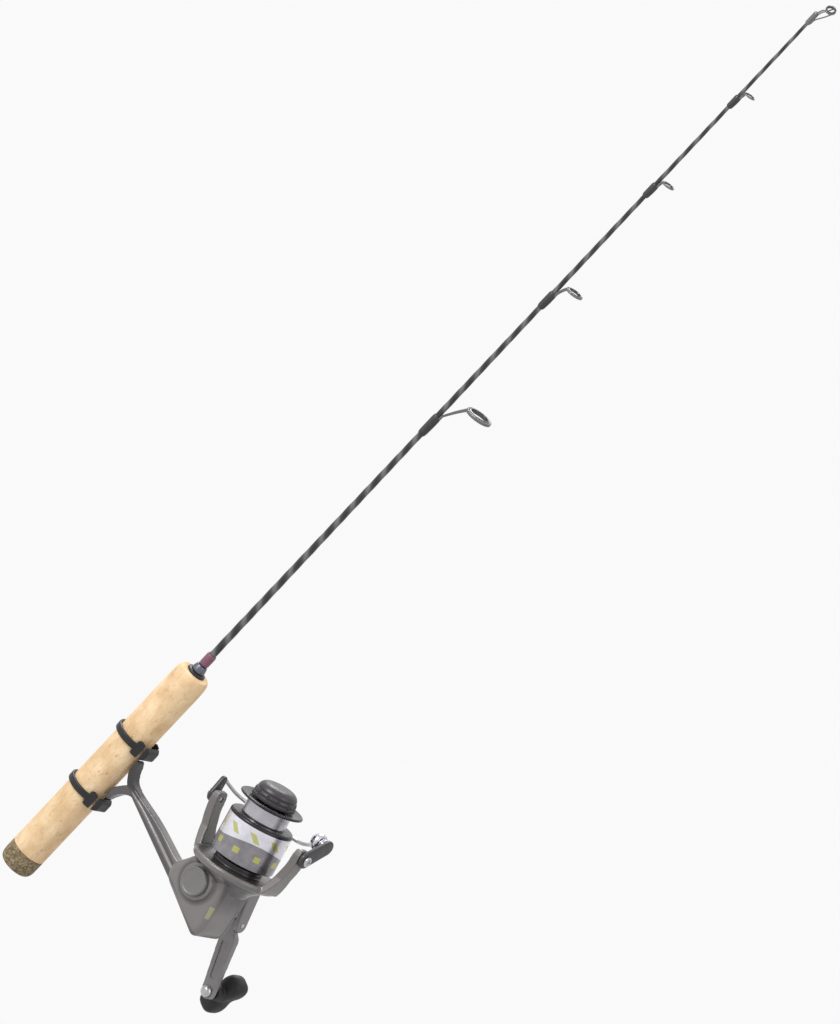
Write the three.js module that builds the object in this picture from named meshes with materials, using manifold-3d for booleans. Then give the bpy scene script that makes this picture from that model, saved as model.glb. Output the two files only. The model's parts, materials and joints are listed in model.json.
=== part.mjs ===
// Ice fishing rod with a small spinning reel held under its cork handle by two sliding rings.
// Units are millimetres. +X runs along the rod to its tip, +Z is up, and the reel hangs below.
// The origin is the centre of the flat end of the butt cap. The crank is on the +Y side.
import * as THREE from "three";
import { mergeVertices } from "three/addons/utils/BufferGeometryUtils.js";
import Module from "manifold-3d";

const wasm = await Module();
wasm.setup();

// ---- driving dimensions: rod ----
const CAP_LENGTH = 13.3;
const CORK_END = 160;
const CORK_RADIUS = 10.9;
const BLANK_START = 5;
const BLANK_END = 700.4;
const BLANK_BUTT_RADIUS = 2.6;
const BLANK_TIP_RADIUS = 1.0;
const ROD_FIT = 0.12;
const GAP = 0.3;

// Sides on large, medium, small and tiny round shapes.
const [FINE, ROUND, SMALL, TINY] = [24, 16, 12, 8];

// leg: where the leg leaves the blank; ring: ring centre; size: ring outer diameter; foot: foot length
const GUIDES = [
  { leg: 373.5, ring: [391.3, -19.4], size: 16.6, foot: 15 },
  { leg: 474.3, ring: [482.6, -9.9], size: 11, foot: 12 },
  { leg: 563.2, ring: [567, -6.3], size: 8, foot: 10 },
  { leg: 634.9, ring: [638.6, -5.2], size: 6.8, foot: 9 },
];
const GUIDE_LEAN = THREE.MathUtils.degToRad(8);
const TIP_RING = { x: 708.6, z: -5.2, outer: 3.15, turn: THREE.MathUtils.degToRad(-38) };

// ---- driving dimensions: clamp rings and reel foot ----
const REAR_RING_X = 65.2;
const FRONT_RING_X = 106.9;
const RING_BAND = 4.2;
const FOOT = { rear: 58, front: 114, halfWidth: 6.5, bottom: -13.2, endBottom: -12.1, top: -8.9 };

// ---- driving dimensions: reel, in its own frame ----
// Reel frame: x along the spool axis to the front, y across, z towards the rod.
const REEL_ORIGIN = [93.2, 0, -108.5];
const REEL_TILT = THREE.MathUtils.degToRad(16);
const DRIVE_Z = 9.5;
const WALL_Y = 15;
const CAVITY_Y = 12.5;
const COVER_Y = 9.1;
const COVER_FACE = 12.4;
const NECK_X = 12.6;
const GEAR_TEETH = 40;
const PINION_TEETH = 8;
const RAIL = { y: -6, z: -3.3, radius: 0.9, rear: -22.6, front: -3.4 };
const OSC = { x: -12.3, z: 5.3, throw: 3.4, driverTeeth: 15, teeth: 18 };
const ROTOR = { rear: 12.9, front: 16.8, radius: 27, hub: 15, tip: 47.5 };
const BAIL_X = 43;
const BAIL_FACE = 35.4;
const ROLLER = { x: 52.6, y: 14.5 };
const SKIRT = { rear: 22, front: 46.7, outer: 19.75, inner: 18.3 };
const LIP_X = 57.4;
const SHAFT_RADIUS = 1.8;
const CRANK = { lean: THREE.MathUtils.degToRad(-6.8), y: 39, pivot: 20, length: 63, endY: 42 };
const KNOB_Y = 50.5;
const KNOB_TURN = THREE.MathUtils.degToRad(14);

// ---- materials ----
function material(colour, roughness, metalness) {
  return new THREE.MeshStandardMaterial({ color: colour, roughness, metalness });
}
const CORK = material(0xdfbd90, 0.85, 0);
const CAP_CORK = material(0x7b6d53, 0.8, 0);
const BLACK = material(0x2b272b, 0.5, 0);
const GRAPHITE = material(0x4e4e50, 0.35, 0.2);
const SILVER = material(0xd9d7de, 0.25, 0.9);
const STEEL = material(0xa9a9ad, 0.3, 1);
const MAROON = material(0x694155, 0.5, 0);
const THREAD = material(0x1f1f22, 0.4, 0);
const CERAMIC = material(0x2a2a2e, 0.15, 0);
const BODY_GREY = material(0x7d7a7a, 0.45, 0.3);
const ROTOR_GREY = material(0x5c5954, 0.45, 0.3);
const DARK = material(0x3a383a, 0.5, 0.1);
const BRASS = material(0xb59a56, 0.35, 1);
const FELT = material(0x3d3a36, 0.95, 0);

// ---- shape helpers ----
// Merges shared vertices, drops empty triangles and turns the faces outwards.
function clean(geometry) {
  const bare = geometry.clone();
  bare.deleteAttribute("normal");
  bare.deleteAttribute("uv");
  const merged = mergeVertices(bare, 1e-4);
  const index = merged.index.array;
  const kept = [];
  for (let i = 0; i < index.length; i += 3) {
    const [a, b, c] = [index[i], index[i + 1], index[i + 2]];
    if (a !== b && b !== c && c !== a) kept.push(a, b, c);
  }
  merged.setIndex(kept);
  if (signedVolume(merged) < 0) {
    for (let i = 0; i < kept.length; i += 3) [kept[i + 1], kept[i + 2]] = [kept[i + 2], kept[i + 1]];
    merged.setIndex(kept);
  }
  return merged;
}

function signedVolume(geometry) {
  const position = geometry.attributes.position;
  const index = geometry.index.array;
  const [a, b, c] = [new THREE.Vector3(), new THREE.Vector3(), new THREE.Vector3()];
  let sum = 0;
  for (let i = 0; i < index.length; i += 3) {
    a.fromBufferAttribute(position, index[i]);
    b.fromBufferAttribute(position, index[i + 1]);
    c.fromBufferAttribute(position, index[i + 2]);
    sum += a.dot(b.cross(c));
  }
  return sum / 6;
}

function toSolid(mesh) {
  return new wasm.Manifold(new wasm.Mesh({
    numProp: 3,
    vertProperties: new Float32Array(mesh.attributes.position.array),
    triVerts: new Uint32Array(mesh.index.array),
  }));
}

function toGeometry(solid) {
  const mesh = solid.getMesh();
  const geometry = new THREE.BufferGeometry();
  geometry.setAttribute("position", new THREE.BufferAttribute(new Float32Array(mesh.vertProperties), 3));
  geometry.setIndex([...mesh.triVerts]);
  return geometry;
}

function join(...geometries) {
  return toGeometry(geometries.map(toSolid).reduce((sum, solid) => sum.add(solid)));
}

function cut(base, ...tools) {
  return toGeometry(tools.map(toSolid).reduce((rest, solid) => rest.subtract(solid), toSolid(base)));
}

function common(first, second) {
  return toGeometry(toSolid(first).intersect(toSolid(second)));
}

// A solid of revolution: profile points are [along the axis, radius].
function turned(profile, axis = "x", segments = ROUND) {
  const points = profile.map(([along, radius]) => new THREE.Vector2(radius, along));
  const geometry = clean(new THREE.LatheGeometry(points, segments));
  if (axis === "x") geometry.rotateZ(-Math.PI / 2);
  if (axis === "z") geometry.rotateX(Math.PI / 2);
  return geometry;
}

// A plain tube or disc: from and to along the axis, outer and inner radius.
function sleeve(from, to, outer, inner, axis = "x", segments = ROUND) {
  if (inner > 0) {
    const ring = [[from, inner], [from, outer], [to, outer], [to, inner], [from, inner]];
    return turned(ring, axis, segments);
  }
  return turned([[from, 0], [from, outer], [to, outer], [to, 0]], axis, segments);
}

function outline(points, corner = 0) {
  const shape = new THREE.Shape();
  const count = points.length;
  points.forEach((point, i) => {
    const here = new THREE.Vector2(...point);
    const before = new THREE.Vector2(...points[(i + count - 1) % count]);
    const after = new THREE.Vector2(...points[(i + 1) % count]);
    const reachIn = Math.min(corner, here.distanceTo(before) * 0.45);
    const reachOut = Math.min(corner, here.distanceTo(after) * 0.45);
    const start = here.clone().add(before.sub(here).setLength(reachIn));
    const end = here.clone().add(after.sub(here).setLength(reachOut));
    if (i === 0) shape.moveTo(start.x, start.y);
    else shape.lineTo(start.x, start.y);
    if (corner > 0) shape.quadraticCurveTo(here.x, here.y, end.x, end.y);
  });
  shape.closePath();
  return shape;
}

// The outline round two circles: a link or lever plate.
function link([ax, ay, ar], [bx, by, br], steps = 6) {
  const heading = Math.atan2(by - ay, bx - ax);
  const spread = Math.acos((ar - br) / Math.hypot(bx - ax, by - ay));
  const points = [];
  for (let i = 0; i <= steps; i += 1) {
    const angle = heading - spread + (2 * spread * i) / steps;
    points.push([bx + br * Math.cos(angle), by + br * Math.sin(angle)]);
  }
  for (let i = 0; i <= steps; i += 1) {
    const angle = heading + spread + ((2 * Math.PI - 2 * spread) * i) / steps;
    points.push([ax + ar * Math.cos(angle), ay + ar * Math.sin(angle)]);
  }
  return outline(points);
}

// A prism between two stations of one axis. Shapes lie in XZ for y, in YZ for x and in XY for z.
function prism(shape, axis, from, to, bevel = 0) {
  const geometry = clean(new THREE.ExtrudeGeometry(shape, {
    depth: to - from - 2 * bevel,
    bevelEnabled: bevel > 0,
    bevelThickness: bevel,
    bevelSize: bevel,
    bevelOffset: -bevel,
    bevelSegments: 1,
    curveSegments: 2,
  }));
  geometry.translate(0, 0, from + bevel);
  if (axis === "y") {
    geometry.translate(0, 0, -from - to);
    geometry.rotateX(Math.PI / 2);
  }
  if (axis === "x") {
    const [X, Y, Z] = [new THREE.Vector3(1, 0, 0), new THREE.Vector3(0, 1, 0), new THREE.Vector3(0, 0, 1)];
    geometry.applyMatrix4(new THREE.Matrix4().makeBasis(Y, Z, X));
  }
  return geometry;
}

function block(x0, x1, y0, y1, z0, z1) {
  const geometry = clean(new THREE.BoxGeometry(x1 - x0, y1 - y0, z1 - z0));
  return geometry.translate((x0 + x1) / 2, (y0 + y1) / 2, (z0 + z1) / 2);
}

function wire(points, radius, steps, sides = 6) {
  const path = new THREE.CatmullRomCurve3(points.map((point) => new THREE.Vector3(...point)));
  const section = new THREE.Shape();
  section.absarc(0, 0, radius, 0, 2 * Math.PI, false);
  return clean(new THREE.ExtrudeGeometry(section, {
    steps,
    extrudePath: path,
    curveSegments: sides / 2,
    bevelEnabled: false,
  }));
}

function gearShape(teeth, tip, root) {
  const points = [];
  const pitch = (2 * Math.PI) / teeth;
  for (let i = 0; i < teeth; i += 1) {
    [[root, 0], [tip, 0.5]].forEach(([radius, part]) => {
      const angle = (i + part) * pitch;
      points.push([radius * Math.cos(angle), radius * Math.sin(angle)]);
    });
  }
  return outline(points);
}

function blankRadius(x) {
  const share = (x - BLANK_START) / (BLANK_END - BLANK_START);
  return BLANK_BUTT_RADIUS + (BLANK_TIP_RADIUS - BLANK_BUTT_RADIUS) * share;
}

const rod = new THREE.Group();
const reel = new THREE.Group();
const crank = new THREE.Group();
reel.position.set(...REEL_ORIGIN);
reel.rotation.y = -REEL_TILT;
crank.position.set(0, 0, DRIVE_Z);
crank.rotation.y = CRANK.lean;

function add(group, name, geometry, look) {
  const mesh = new THREE.Mesh(geometry, look);
  mesh.name = name;
  group.add(mesh);
  return mesh;
}

// ---- handle ----
function makeHandle() {
  const bore = blankRadius(CAP_LENGTH) + ROD_FIT;
  add(rod, "butt_cap", turned([
    [0, 0], [0, 7.2], [0.7, 9], [2.2, 10.3], [4.6, 10.95], [CAP_LENGTH - 0.1, CORK_RADIUS + 0.1],
    [CAP_LENGTH - 0.1, bore], [BLANK_START - 0.3, bore], [BLANK_START - 0.3, 0],
  ], "x", FINE), CAP_CORK);
  add(rod, "cork_grip", turned([
    [CAP_LENGTH, bore], [CAP_LENGTH, CORK_RADIUS], [151, CORK_RADIUS], [157, CORK_RADIUS - 0.3],
    [CORK_END, CORK_RADIUS - 1.4], [CORK_END, bore], [CAP_LENGTH, bore],
  ], "x", FINE), CORK);
  const front = blankRadius(CORK_END) + ROD_FIT;
  add(rod, "winding_check", turned([
    [CORK_END + 0.1, front], [CORK_END + 0.1, 6.1], [CORK_END + 1, 5.9], [CORK_END + 1.8, 4.6],
    [CORK_END + 1.8, front], [CORK_END + 0.1, front],
  ], "x", SMALL), BLACK);
  add(rod, "trim_ring", turned([
    [162, front], [162, 4.2], [163.2, 4.2], [166.4, 3.4], [166.4, front], [162, front],
  ], "x", SMALL), SILVER);
  add(rod, "trim_band", sleeve(166.7, 175, 3.05, front, "x", SMALL), MAROON);
}

function makeBlank() {
  const stations = 9;
  const profile = [[BLANK_START, 0]];
  for (let i = 0; i <= stations; i += 1) {
    const x = BLANK_START + ((BLANK_END - BLANK_START) * i) / stations;
    profile.push([x, blankRadius(x)]);
  }
  profile.push([BLANK_END, 0]);
  add(rod, "rod_blank", turned(profile, "x", TINY), GRAPHITE);
}

// ---- line guides: foot and leg, ceramic insert, thread wrap ----
function makeGuide(number, { leg, ring, size, foot }) {
  const under = -blankRadius(leg) - ROD_FIT;
  const footThick = 0.7;
  const outer = size / 2;
  const band = size * 0.085;
  const depth = size * 0.12;
  const [ringX, ringZ] = ring;

  function lean(geometry) {
    return geometry.rotateY(-GUIDE_LEAN).translate(ringX, 0, ringZ);
  }
  const frameRing = lean(sleeve(-depth / 2, depth / 2, outer, outer - band, "x", ROUND));
  const footPlate = prism(outline([
    [leg - foot, -0.75], [leg - 1, -1.15], [leg + 1.6, -1.2], [leg + 1.6, 1.2], [leg - 1, 1.15],
    [leg - foot, 0.75],
  ]), "z", under - footThick, under);
  const rimX = ringX - Math.sin(GUIDE_LEAN) * (outer - band / 2);
  const rimZ = ringZ + Math.cos(GUIDE_LEAN) * (outer - band / 2);
  const strip = footThick * 0.6;
  const legSide = prism(outline([
    [leg + 0.4, under], [leg - 1, under - footThick],
    [rimX - strip, rimZ - band], [rimX + strip, rimZ + band * 0.2],
    [leg + 1.6, under],
  ]), "y", -size, size);
  const legFront = prism(outline([
    [-1.2, under + 1], [1.2, under + 1], [1.2, under - footThick], [size * 0.26, rimZ - band * 2],
    [-size * 0.26, rimZ - band * 2], [-1.2, under - footThick],
  ]), "x", leg - 5, ringX + 5);
  const hole = lean(sleeve(-size, size, outer - band, 0, "x", ROUND));
  const frame = join(cut(join(common(legSide, legFront), frameRing), hole), footPlate);
  add(rod, `guide_${number}_frame`, frame, DARK);

  const insertOuter = outer - band - 0.08;
  const insertInner = insertOuter - size * 0.075;
  const lipHalf = depth * 0.7;
  add(rod, `guide_${number}_insert`, lean(turned([
    [-lipHalf, insertInner + 0.25], [-lipHalf, insertOuter - 0.15], [-depth / 2, insertOuter],
    [depth / 2, insertOuter], [lipHalf, insertOuter - 0.15], [lipHalf, insertInner + 0.25],
    [0, insertInner], [-lipHalf, insertInner + 0.25],
  ], "x", ROUND)), CERAMIC);

  // The wrap is a sleeve round the blank that bulges over the foot.
  function teardrop(grow) {
    const radius = blankRadius(leg - foot) + grow;
    const drop = -under + footThick + grow;
    const half = 1.15 + grow;
    const from = Math.asin(Math.min(0.95, half / radius));
    const points = [[half, -drop], [-half, -drop]];
    const steps = 14;
    for (let i = 0; i <= steps; i += 1) {
      const angle = -Math.PI / 2 - from - ((2 * Math.PI - 2 * from) * i) / steps;
      points.push([radius * Math.cos(angle), radius * Math.sin(angle)]);
    }
    return points;
  }
  const wrap = prism(outline(teardrop(0.75)), "x", leg - foot - 1.5, leg - 1.3);
  const inside = prism(outline(teardrop(0.1)), "x", leg - foot - 5, leg + 5);
  add(rod, `guide_${number}_wrap`, cut(wrap, inside), THREAD);
}

function makeTipTop() {
  const tipRadius = BLANK_TIP_RADIUS + 0.15;
  const tube = turned([
    [692.5, tipRadius + 0.05], [692.5, 1.6], [701, 1.6], [701.6, 1.2], [701.6, 0], [700.7, 0],
    [700.7, tipRadius + 0.05], [692.5, tipRadius + 0.05],
  ], "x", TINY);
  const { x, z, outer, turn } = TIP_RING;
  function place(geometry) {
    return geometry.rotateZ(turn).translate(x, 0, z);
  }
  const rim = place(sleeve(-0.75, 0.75, outer, outer - 0.65, "x", SMALL));
  const side = outer - 0.35;
  const [backX, backY] = [Math.cos(turn + Math.PI / 2) * side, Math.sin(turn + Math.PI / 2) * side];
  const arms = [1, -1].map((s) => wire([
    [700.6, s * 0.5, -0.5], [704.5, s * 1.7, -1.6], [x + s * backX, s * backY, z],
  ], 0.42, 8, 6));
  const brace = wire([[694.5, 0, -1.75], [700.5, 0, -3.1], [x, 0, z - side]], 0.42, 8, 6);
  const hole = place(sleeve(-3, 3, outer - 0.65, 0, "x", SMALL));
  const frame = join(cut(join(rim, ...arms, brace), hole), tube);
  add(rod, "tip_top_frame", frame, STEEL);
  add(rod, "tip_top_insert", place(turned([
    [-0.95, outer - 1.15], [-0.95, outer - 0.85], [-0.6, outer - 0.73], [0.6, outer - 0.73],
    [0.95, outer - 0.85], [0.95, outer - 1.15], [0, outer - 1.3], [-0.95, outer - 1.15],
  ], "x", SMALL)), CERAMIC);
}

// ---- sliding clamp rings, wider where they hood the reel foot ----
function makeClampRing(name, x) {
  const bore = CORK_RADIUS + 0.25;
  const band = turned([
    [-RING_BAND / 2, bore - 0.05], [-RING_BAND / 2, bore + 1.2], [-RING_BAND / 2 + 0.6, bore + 1.9],
    [RING_BAND / 2 - 0.6, bore + 1.9], [RING_BAND / 2, bore + 1.2], [RING_BAND / 2, bore - 0.05],
    [-RING_BAND / 2, bore - 0.05],
  ], "x", FINE);
  const hoodSide = prism(outline([
    [-5, -8], [-5, -12.6], [-3.4, -16.4], [3.4, -16.4], [5, -12.6], [5, -8],
  ], 0.8), "y", -12, 12);
  const hoodFront = prism(outline([
    [-9.6, -7.5], [-8.2, -13.6], [-4.6, -16.6], [4.6, -16.6], [8.2, -13.6], [9.6, -7.5],
  ], 1), "x", -6, 6);
  const slot = block(-7, 7, -FOOT.halfWidth - 0.4, FOOT.halfWidth + 0.4, FOOT.bottom - 0.5, -4);
  const ring = cut(join(band, common(hoodSide, hoodFront)), slot, sleeve(-8, 8, bore, 0, "x", FINE));
  add(rod, name, ring, BLACK).position.x = x;
}

// ---- reel body: foot, forked stem, housing and neck in one casting ----
function intoRodFrame(geometry) {
  return geometry.rotateY(-REEL_TILT).translate(...REEL_ORIGIN);
}

const HOUSING = [
  [12, -10.5], [-8, -8.4], [-23.5, -7.4], [-29.2, -2.8], [-25.4, 3.4], [-9, 30.5], [0.5, 31.5],
  [7.5, 24], [12, 20.5],
];
const CAVITY = [
  [9.4, -7.4], [-8, -6], [-22.6, -5.2], [-26, -2.4], [-22.8, 3.6], [-11.5, 22], [4, 22.5],
  [11.2, 16], [11.2, 2],
];
const COVER_BOSSES = [[-4.5, 27.3], [-24.3, -2.6], [-3.5, -5.6]];

function neckProfile(grow) {
  return [
    [2 - grow, 0], [2 - grow, 12 + grow], [6.5, 15.2 + grow], [10.2, 20 + grow], [NECK_X + grow, 21.5 + grow],
    [NECK_X + grow, 0],
  ];
}

function makeReelBody() {
  const foot = cut(prism(outline([
    [FOOT.rear, FOOT.endBottom], [FOOT.rear + 10, FOOT.bottom], [FOOT.front - 10, FOOT.bottom],
    [FOOT.front, FOOT.endBottom], [FOOT.front, FOOT.top], [FOOT.rear, FOOT.top],
  ]), "y", -FOOT.halfWidth, FOOT.halfWidth), sleeve(50, 120, CORK_RADIUS + GAP, 0, "x", FINE));
  const forkShape = outline([
    [70.8, -12.8], [101.4, -12.8], [101, -14.6], [95, -16.6], [90, -20.4], [89.2, -30], [84.3, -30],
    [83.4, -23], [77.5, -17], [71.2, -15.2],
  ], 1.2);
  const opening = outline([[79.6, -13.9], [86, -18.2], [91.4, -13.9]], 0.6);
  forkShape.holes.push(new THREE.Path(opening.getPoints(3)));
  const fork = prism(forkShape, "y", -3.4, 3.4);
  const stem = prism(outline([
    [89.6, -24], [84.6, -24], [70.6, -87], [66, -106], [65.4, -115], [69, -117], [86, -95],
    [83.6, -76], [88.2, -49],
  ], 2), "y", -3.8, 3.8);
  const housing = intoRodFrame(prism(outline(HOUSING, 3.5), "y", -WALL_Y, COVER_Y, 2.6));
  const flatSide = intoRodFrame(prism(outline(HOUSING, 3.5), "y", 0, COVER_Y));
  const neck = intoRodFrame(turned(neckProfile(0), "x", FINE));
  const boss = intoRodFrame(turned([
    [-17, 0], [-17, 10.2], [-16.4, 10.9], [-13, 11.6], [-13, 0],
  ], "y", ROUND).translate(0, 0, DRIVE_Z));
  const clutchCollar = intoRodFrame(sleeve(NECK_X - 1, 17.3, 9.5, 0, "x", ROUND));
  const shell = join(foot, fork, stem, housing, flatSide, neck, boss, clutchCollar);

  const cavity = intoRodFrame(prism(outline(CAVITY, 2.5), "y", -CAVITY_Y, COVER_Y + 12));
  const bearingBoss = intoRodFrame(sleeve(10, NECK_X, 6.9, 0, "x", ROUND));
  const clutchSeat = intoRodFrame(sleeve(NECK_X + 0.2, 20, 8.2, 0, "x", ROUND));
  const bearingSeat = intoRodFrame(sleeve(-2, 14, 6.15, 0, "x", ROUND));
  const driveBore = intoRodFrame(sleeve(-20, 20, 6.15, 0, "y", ROUND).translate(0, 0, DRIVE_Z));
  const posts = COVER_BOSSES.map(([x, z]) => (
    intoRodFrame(sleeve(3.5, COVER_Y - 0.2, 2.4, 0, "y", TINY).translate(x, 0, z))
  ));
  const screwHoles = COVER_BOSSES.map(([x, z]) => (
    intoRodFrame(sleeve(4.2, COVER_Y + 3, 1.2, 0, "y", TINY).translate(x, 0, z))
  ));
  const railRib = intoRodFrame(block(-5, -2.5, RAIL.y - 1.8, RAIL.y + 1.8, -7.5, RAIL.z + 1.8));
  const railHole = intoRodFrame(
    sleeve(-8, -3.1, RAIL.radius + 0.3, 0, "x", TINY).translate(0, RAIL.y, RAIL.z),
  );
  const walls = join(cut(shell, cavity), bearingBoss, ...posts, railRib);
  add(rod, "reel_body", cut(walls, bearingSeat, clutchSeat, driveBore, railHole, ...screwHoles), BODY_GREY);
}

function makeCover() {
  const plate = prism(outline(HOUSING, 3.5), "y", COVER_Y + GAP, COVER_FACE, 1.6);
  const flange = turned([
    [10, 0], [10, 11.6], [13.4, 10.9], [14, 10.2], [14, 0],
  ], "y", ROUND).translate(0, 0, DRIVE_Z);
  const shaped = cut(
    join(plate, flange),
    block(-40, 30, 0, COVER_Y + GAP, -40, 40),
    turned(neckProfile(GAP), "x", FINE),
    sleeve(0, 20, 6.15, 0, "y", ROUND).translate(0, 0, DRIVE_Z),
  );
  const gearPost = sleeve(5.5, COVER_Y + 1, 1.4, 0, "y", TINY).translate(OSC.x, 0, OSC.z);
  const holes = COVER_BOSSES.map(([x, z]) => turned([
    [8, 0], [8, 1.2], [11.2, 1.2], [11.2, 2.3], [20, 2.3], [20, 0],
  ], "y", TINY).translate(x, 0, z));
  add(reel, "side_cover", cut(join(shaped, gearPost), ...holes), BODY_GREY);
  COVER_BOSSES.forEach(([x, z], i) => {
    const head = turned([
      [4.6, 0], [4.6, 1], [11.5, 1], [11.5, 2], [12.6, 2], [13, 1.5], [13, 0],
    ], "y", TINY).translate(x, 0, z);
    const groove = block(x - 1.6, x + 1.6, 12.4, 14, z - 0.25, z + 0.25);
    add(reel, `cover_screw_${i + 1}`, cut(head, groove), STEEL);
  });
  add(reel, "screw_cap", turned([
    [-16.5, 0], [-16.5, 5.2], [-17.3, 5.2], [-17.3, 8.7], [-19.3, 8.7], [-20, 8], [-20, 0],
  ], "y", ROUND).translate(0, 0, DRIVE_Z), BODY_GREY);
}

// ---- reel internals held by the body ----
function makeBearings() {
  add(reel, "pinion_bearing", sleeve(10.1, 12.5, 5.95, 3.05, "x", ROUND), STEEL);
  add(reel, "one_way_clutch", sleeve(13.1, 17.1, 7.95, 3.1, "x", ROUND), STEEL);
  [["drive_bushing_near", -16.2], ["drive_bushing_far", 9.9]].forEach(([name, start]) => {
    add(reel, name, sleeve(start, start + 3.3, 5.9, 4.25, "y", ROUND).translate(0, 0, DRIVE_Z), BRASS);
  });
  const rail = sleeve(RAIL.rear, RAIL.front, RAIL.radius, 0, "x", TINY).translate(0, RAIL.y, RAIL.z);
  add(reel, "crosshead_guide", rail, STEEL);
}

// ---- drive gear on its tubular shaft, with the small spur that turns the oscillation gear ----
function makeGears() {
  const face = prism(gearShape(GEAR_TEETH, 10.5, 9.9), "y", -7.5, -4.2);
  const spur = prism(gearShape(OSC.driverTeeth, 5.7, 5), "y", 5.2, 8);
  const tube = sleeve(-15.8, 12.8, 4.0, 0, "y", SMALL);
  const bore = sleeve(-17, 17, 2.7, 0, "y", SMALL);
  add(reel, "drive_gear", cut(join(face, spur, tube), bore), BRASS).position.z = DRIVE_Z;

  const wheel = prism(gearShape(OSC.teeth, 6.9, 6.1), "y", 5.5, 7.7);
  const crankPin = sleeve(3.7, 6, 1.2, 0, "y", TINY).translate(0, 0, OSC.throw);
  const hub = sleeve(5, 9, 1.7, 0, "y", TINY);
  const gear = add(reel, "oscillation_gear", cut(join(wheel, crankPin), hub), BRASS);
  gear.position.set(OSC.x, 0, OSC.z);

  const teeth = prism(gearShape(PINION_TEETH, 3.4, 2.7), "x", -5.5, 5.2);
  const shank = sleeve(5, 23.8, 2.85, 0, "x", SMALL);
  const through = sleeve(-7, 25, SHAFT_RADIUS + 0.2, 0, "x", SMALL);
  add(reel, "pinion_gear", cut(join(teeth, shank), through), BRASS);
  const nut = prism(outline([0, 1, 2, 3, 4, 5].map((i) => (
    [5.2 * Math.cos((i * Math.PI) / 3), 5.2 * Math.sin((i * Math.PI) / 3)]
  ))), "x", 20.8, 23.2);
  add(reel, "rotor_nut", cut(nut, sleeve(20, 24, 2.95, 0, "x", SMALL)), STEEL);
}

// ---- rotor: dished base, hub and two arms that carry the bail ----
function makeRotor() {
  const { rear, front, radius, hub, tip } = ROTOR;
  const base = turned([
    [rear + 0.4, 10.3], [rear + 0.4, 22.6], [rear - 0.9, 22.6], [rear - 0.9, 24.8], [rear + 0.8, radius],
    [front - 0.8, radius], [front, radius - 1], [front, hub], [20.5, hub], [20.5, 3], [18.1, 3],
    [18.1, 10.3], [rear + 0.4, 10.3],
  ], "x", FINE);
  const armSide = outline([
    [rear, 23.5], [front + 0.5, 24], [front + 4, 25.6], [tip - 12, 29.6], [tip, 31], [tip, BAIL_FACE - 1],
    [tip - 2, BAIL_FACE], [BAIL_X - 6, BAIL_FACE], [26, 32], [18, 29.3], [rear + 0.6, 26.8],
  ], 1.2);
  const armFront = outline([
    [rear - 1, -9], [20, -6.6], [27, -4.7], [tip - 10, -4.5], [tip - 4, -4.9], [tip, -3], [tip, 3],
    [tip - 4, 4.9],
    [tip - 10, 4.5], [27, 4.7], [20, 6.6], [rear - 1, 9],
  ], 1.5);
  const arm = common(prism(armSide, "y", -12, 12), prism(armFront, "z", 20, 40));
  const screwHole = sleeve(28, 42, 1.65, 0, "z", TINY).translate(BAIL_X, 0, 0);
  const upper = cut(arm, screwHole);
  const lower = upper.clone().rotateX(Math.PI);
  add(reel, "rotor", join(base, upper, lower), ROTOR_GREY);
}

// ---- bail: wire, its two levers, pivot screws and line roller ----
function makeBail() {
  const leverIn = BAIL_FACE + GAP;
  const leverOut = leverIn + 2.6;
  const bore = sleeve(30, 45, 1.85, 0, "z", TINY).translate(BAIL_X, 0, 0);
  const holder = prism(link([BAIL_X, 0, 4.4], [BAIL_X + 9.5, 2, 2.5]), "z", leverIn, leverOut, 0.5);
  add(reel, "bail_holder", cut(holder, bore), DARK);
  const arm = prism(link([BAIL_X, 0, 5], [ROLLER.x, ROLLER.y, 4.6]), "z", -leverOut, -leverIn, 0.5);
  const lowBore = sleeve(-45, -30, 1.85, 0, "z", TINY).translate(BAIL_X, 0, 0);
  const axle = sleeve(-leverIn - 0.5, -32.9, 1.4, 0, "z", TINY).translate(ROLLER.x, ROLLER.y, 0);
  add(reel, "bail_arm", cut(join(arm, axle), lowBore), DARK);

  [["bail_screw_upper", 1], ["bail_screw_lower", -1]].forEach(([name, side]) => {
    const screw = turned([
      [31, 0], [31, 1.5], [leverOut + 0.3, 1.5], [leverOut + 0.3, 3.1], [leverOut + 1, 3.1],
      [leverOut + 1.5, 2.4], [leverOut + 1.5, 0],
    ], "z", TINY);
    if (side < 0) screw.rotateX(Math.PI);
    add(reel, name, screw.translate(BAIL_X, 0, 0), STEEL);
  });

  add(reel, "line_roller", turned([
    [-35.3, 1.6], [-35.3, 3.9], [-34.6, 3.9], [-33.9, 3.1], [-33.4, 3.9], [-32.9, 3.9], [-32.9, 1.6],
    [-35.3, 1.6],
  ], "z", SMALL).translate(ROLLER.x, ROLLER.y, 0), SILVER);
  const bulb = turned([
    [-32.6, 0], [-32.6, 5], [-31, 5.6], [-29, 5.2], [-27.2, 4], [-26, 2.2], [-25.6, 0],
  ], "z", SMALL).translate(ROLLER.x, ROLLER.y, 0);
  add(reel, "roller_cap", bulb, SILVER);
  const hoop = wire([
    [ROLLER.x - 3.1, 20.4, -27], [46.2, 29.2, -20.4], [41.2, 35.2, -9], [40, 36.4, 0], [40.4, 35.2, 10.5],
    [42.4, 30.2, 21.6], [46.4, 17.5, 32.4], [50.5, 8.6, 36.1], [52.1, 5.9, 36.9],
  ], 1.15, 26);
  add(reel, "bail_wire", hoop, STEEL);
}

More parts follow.
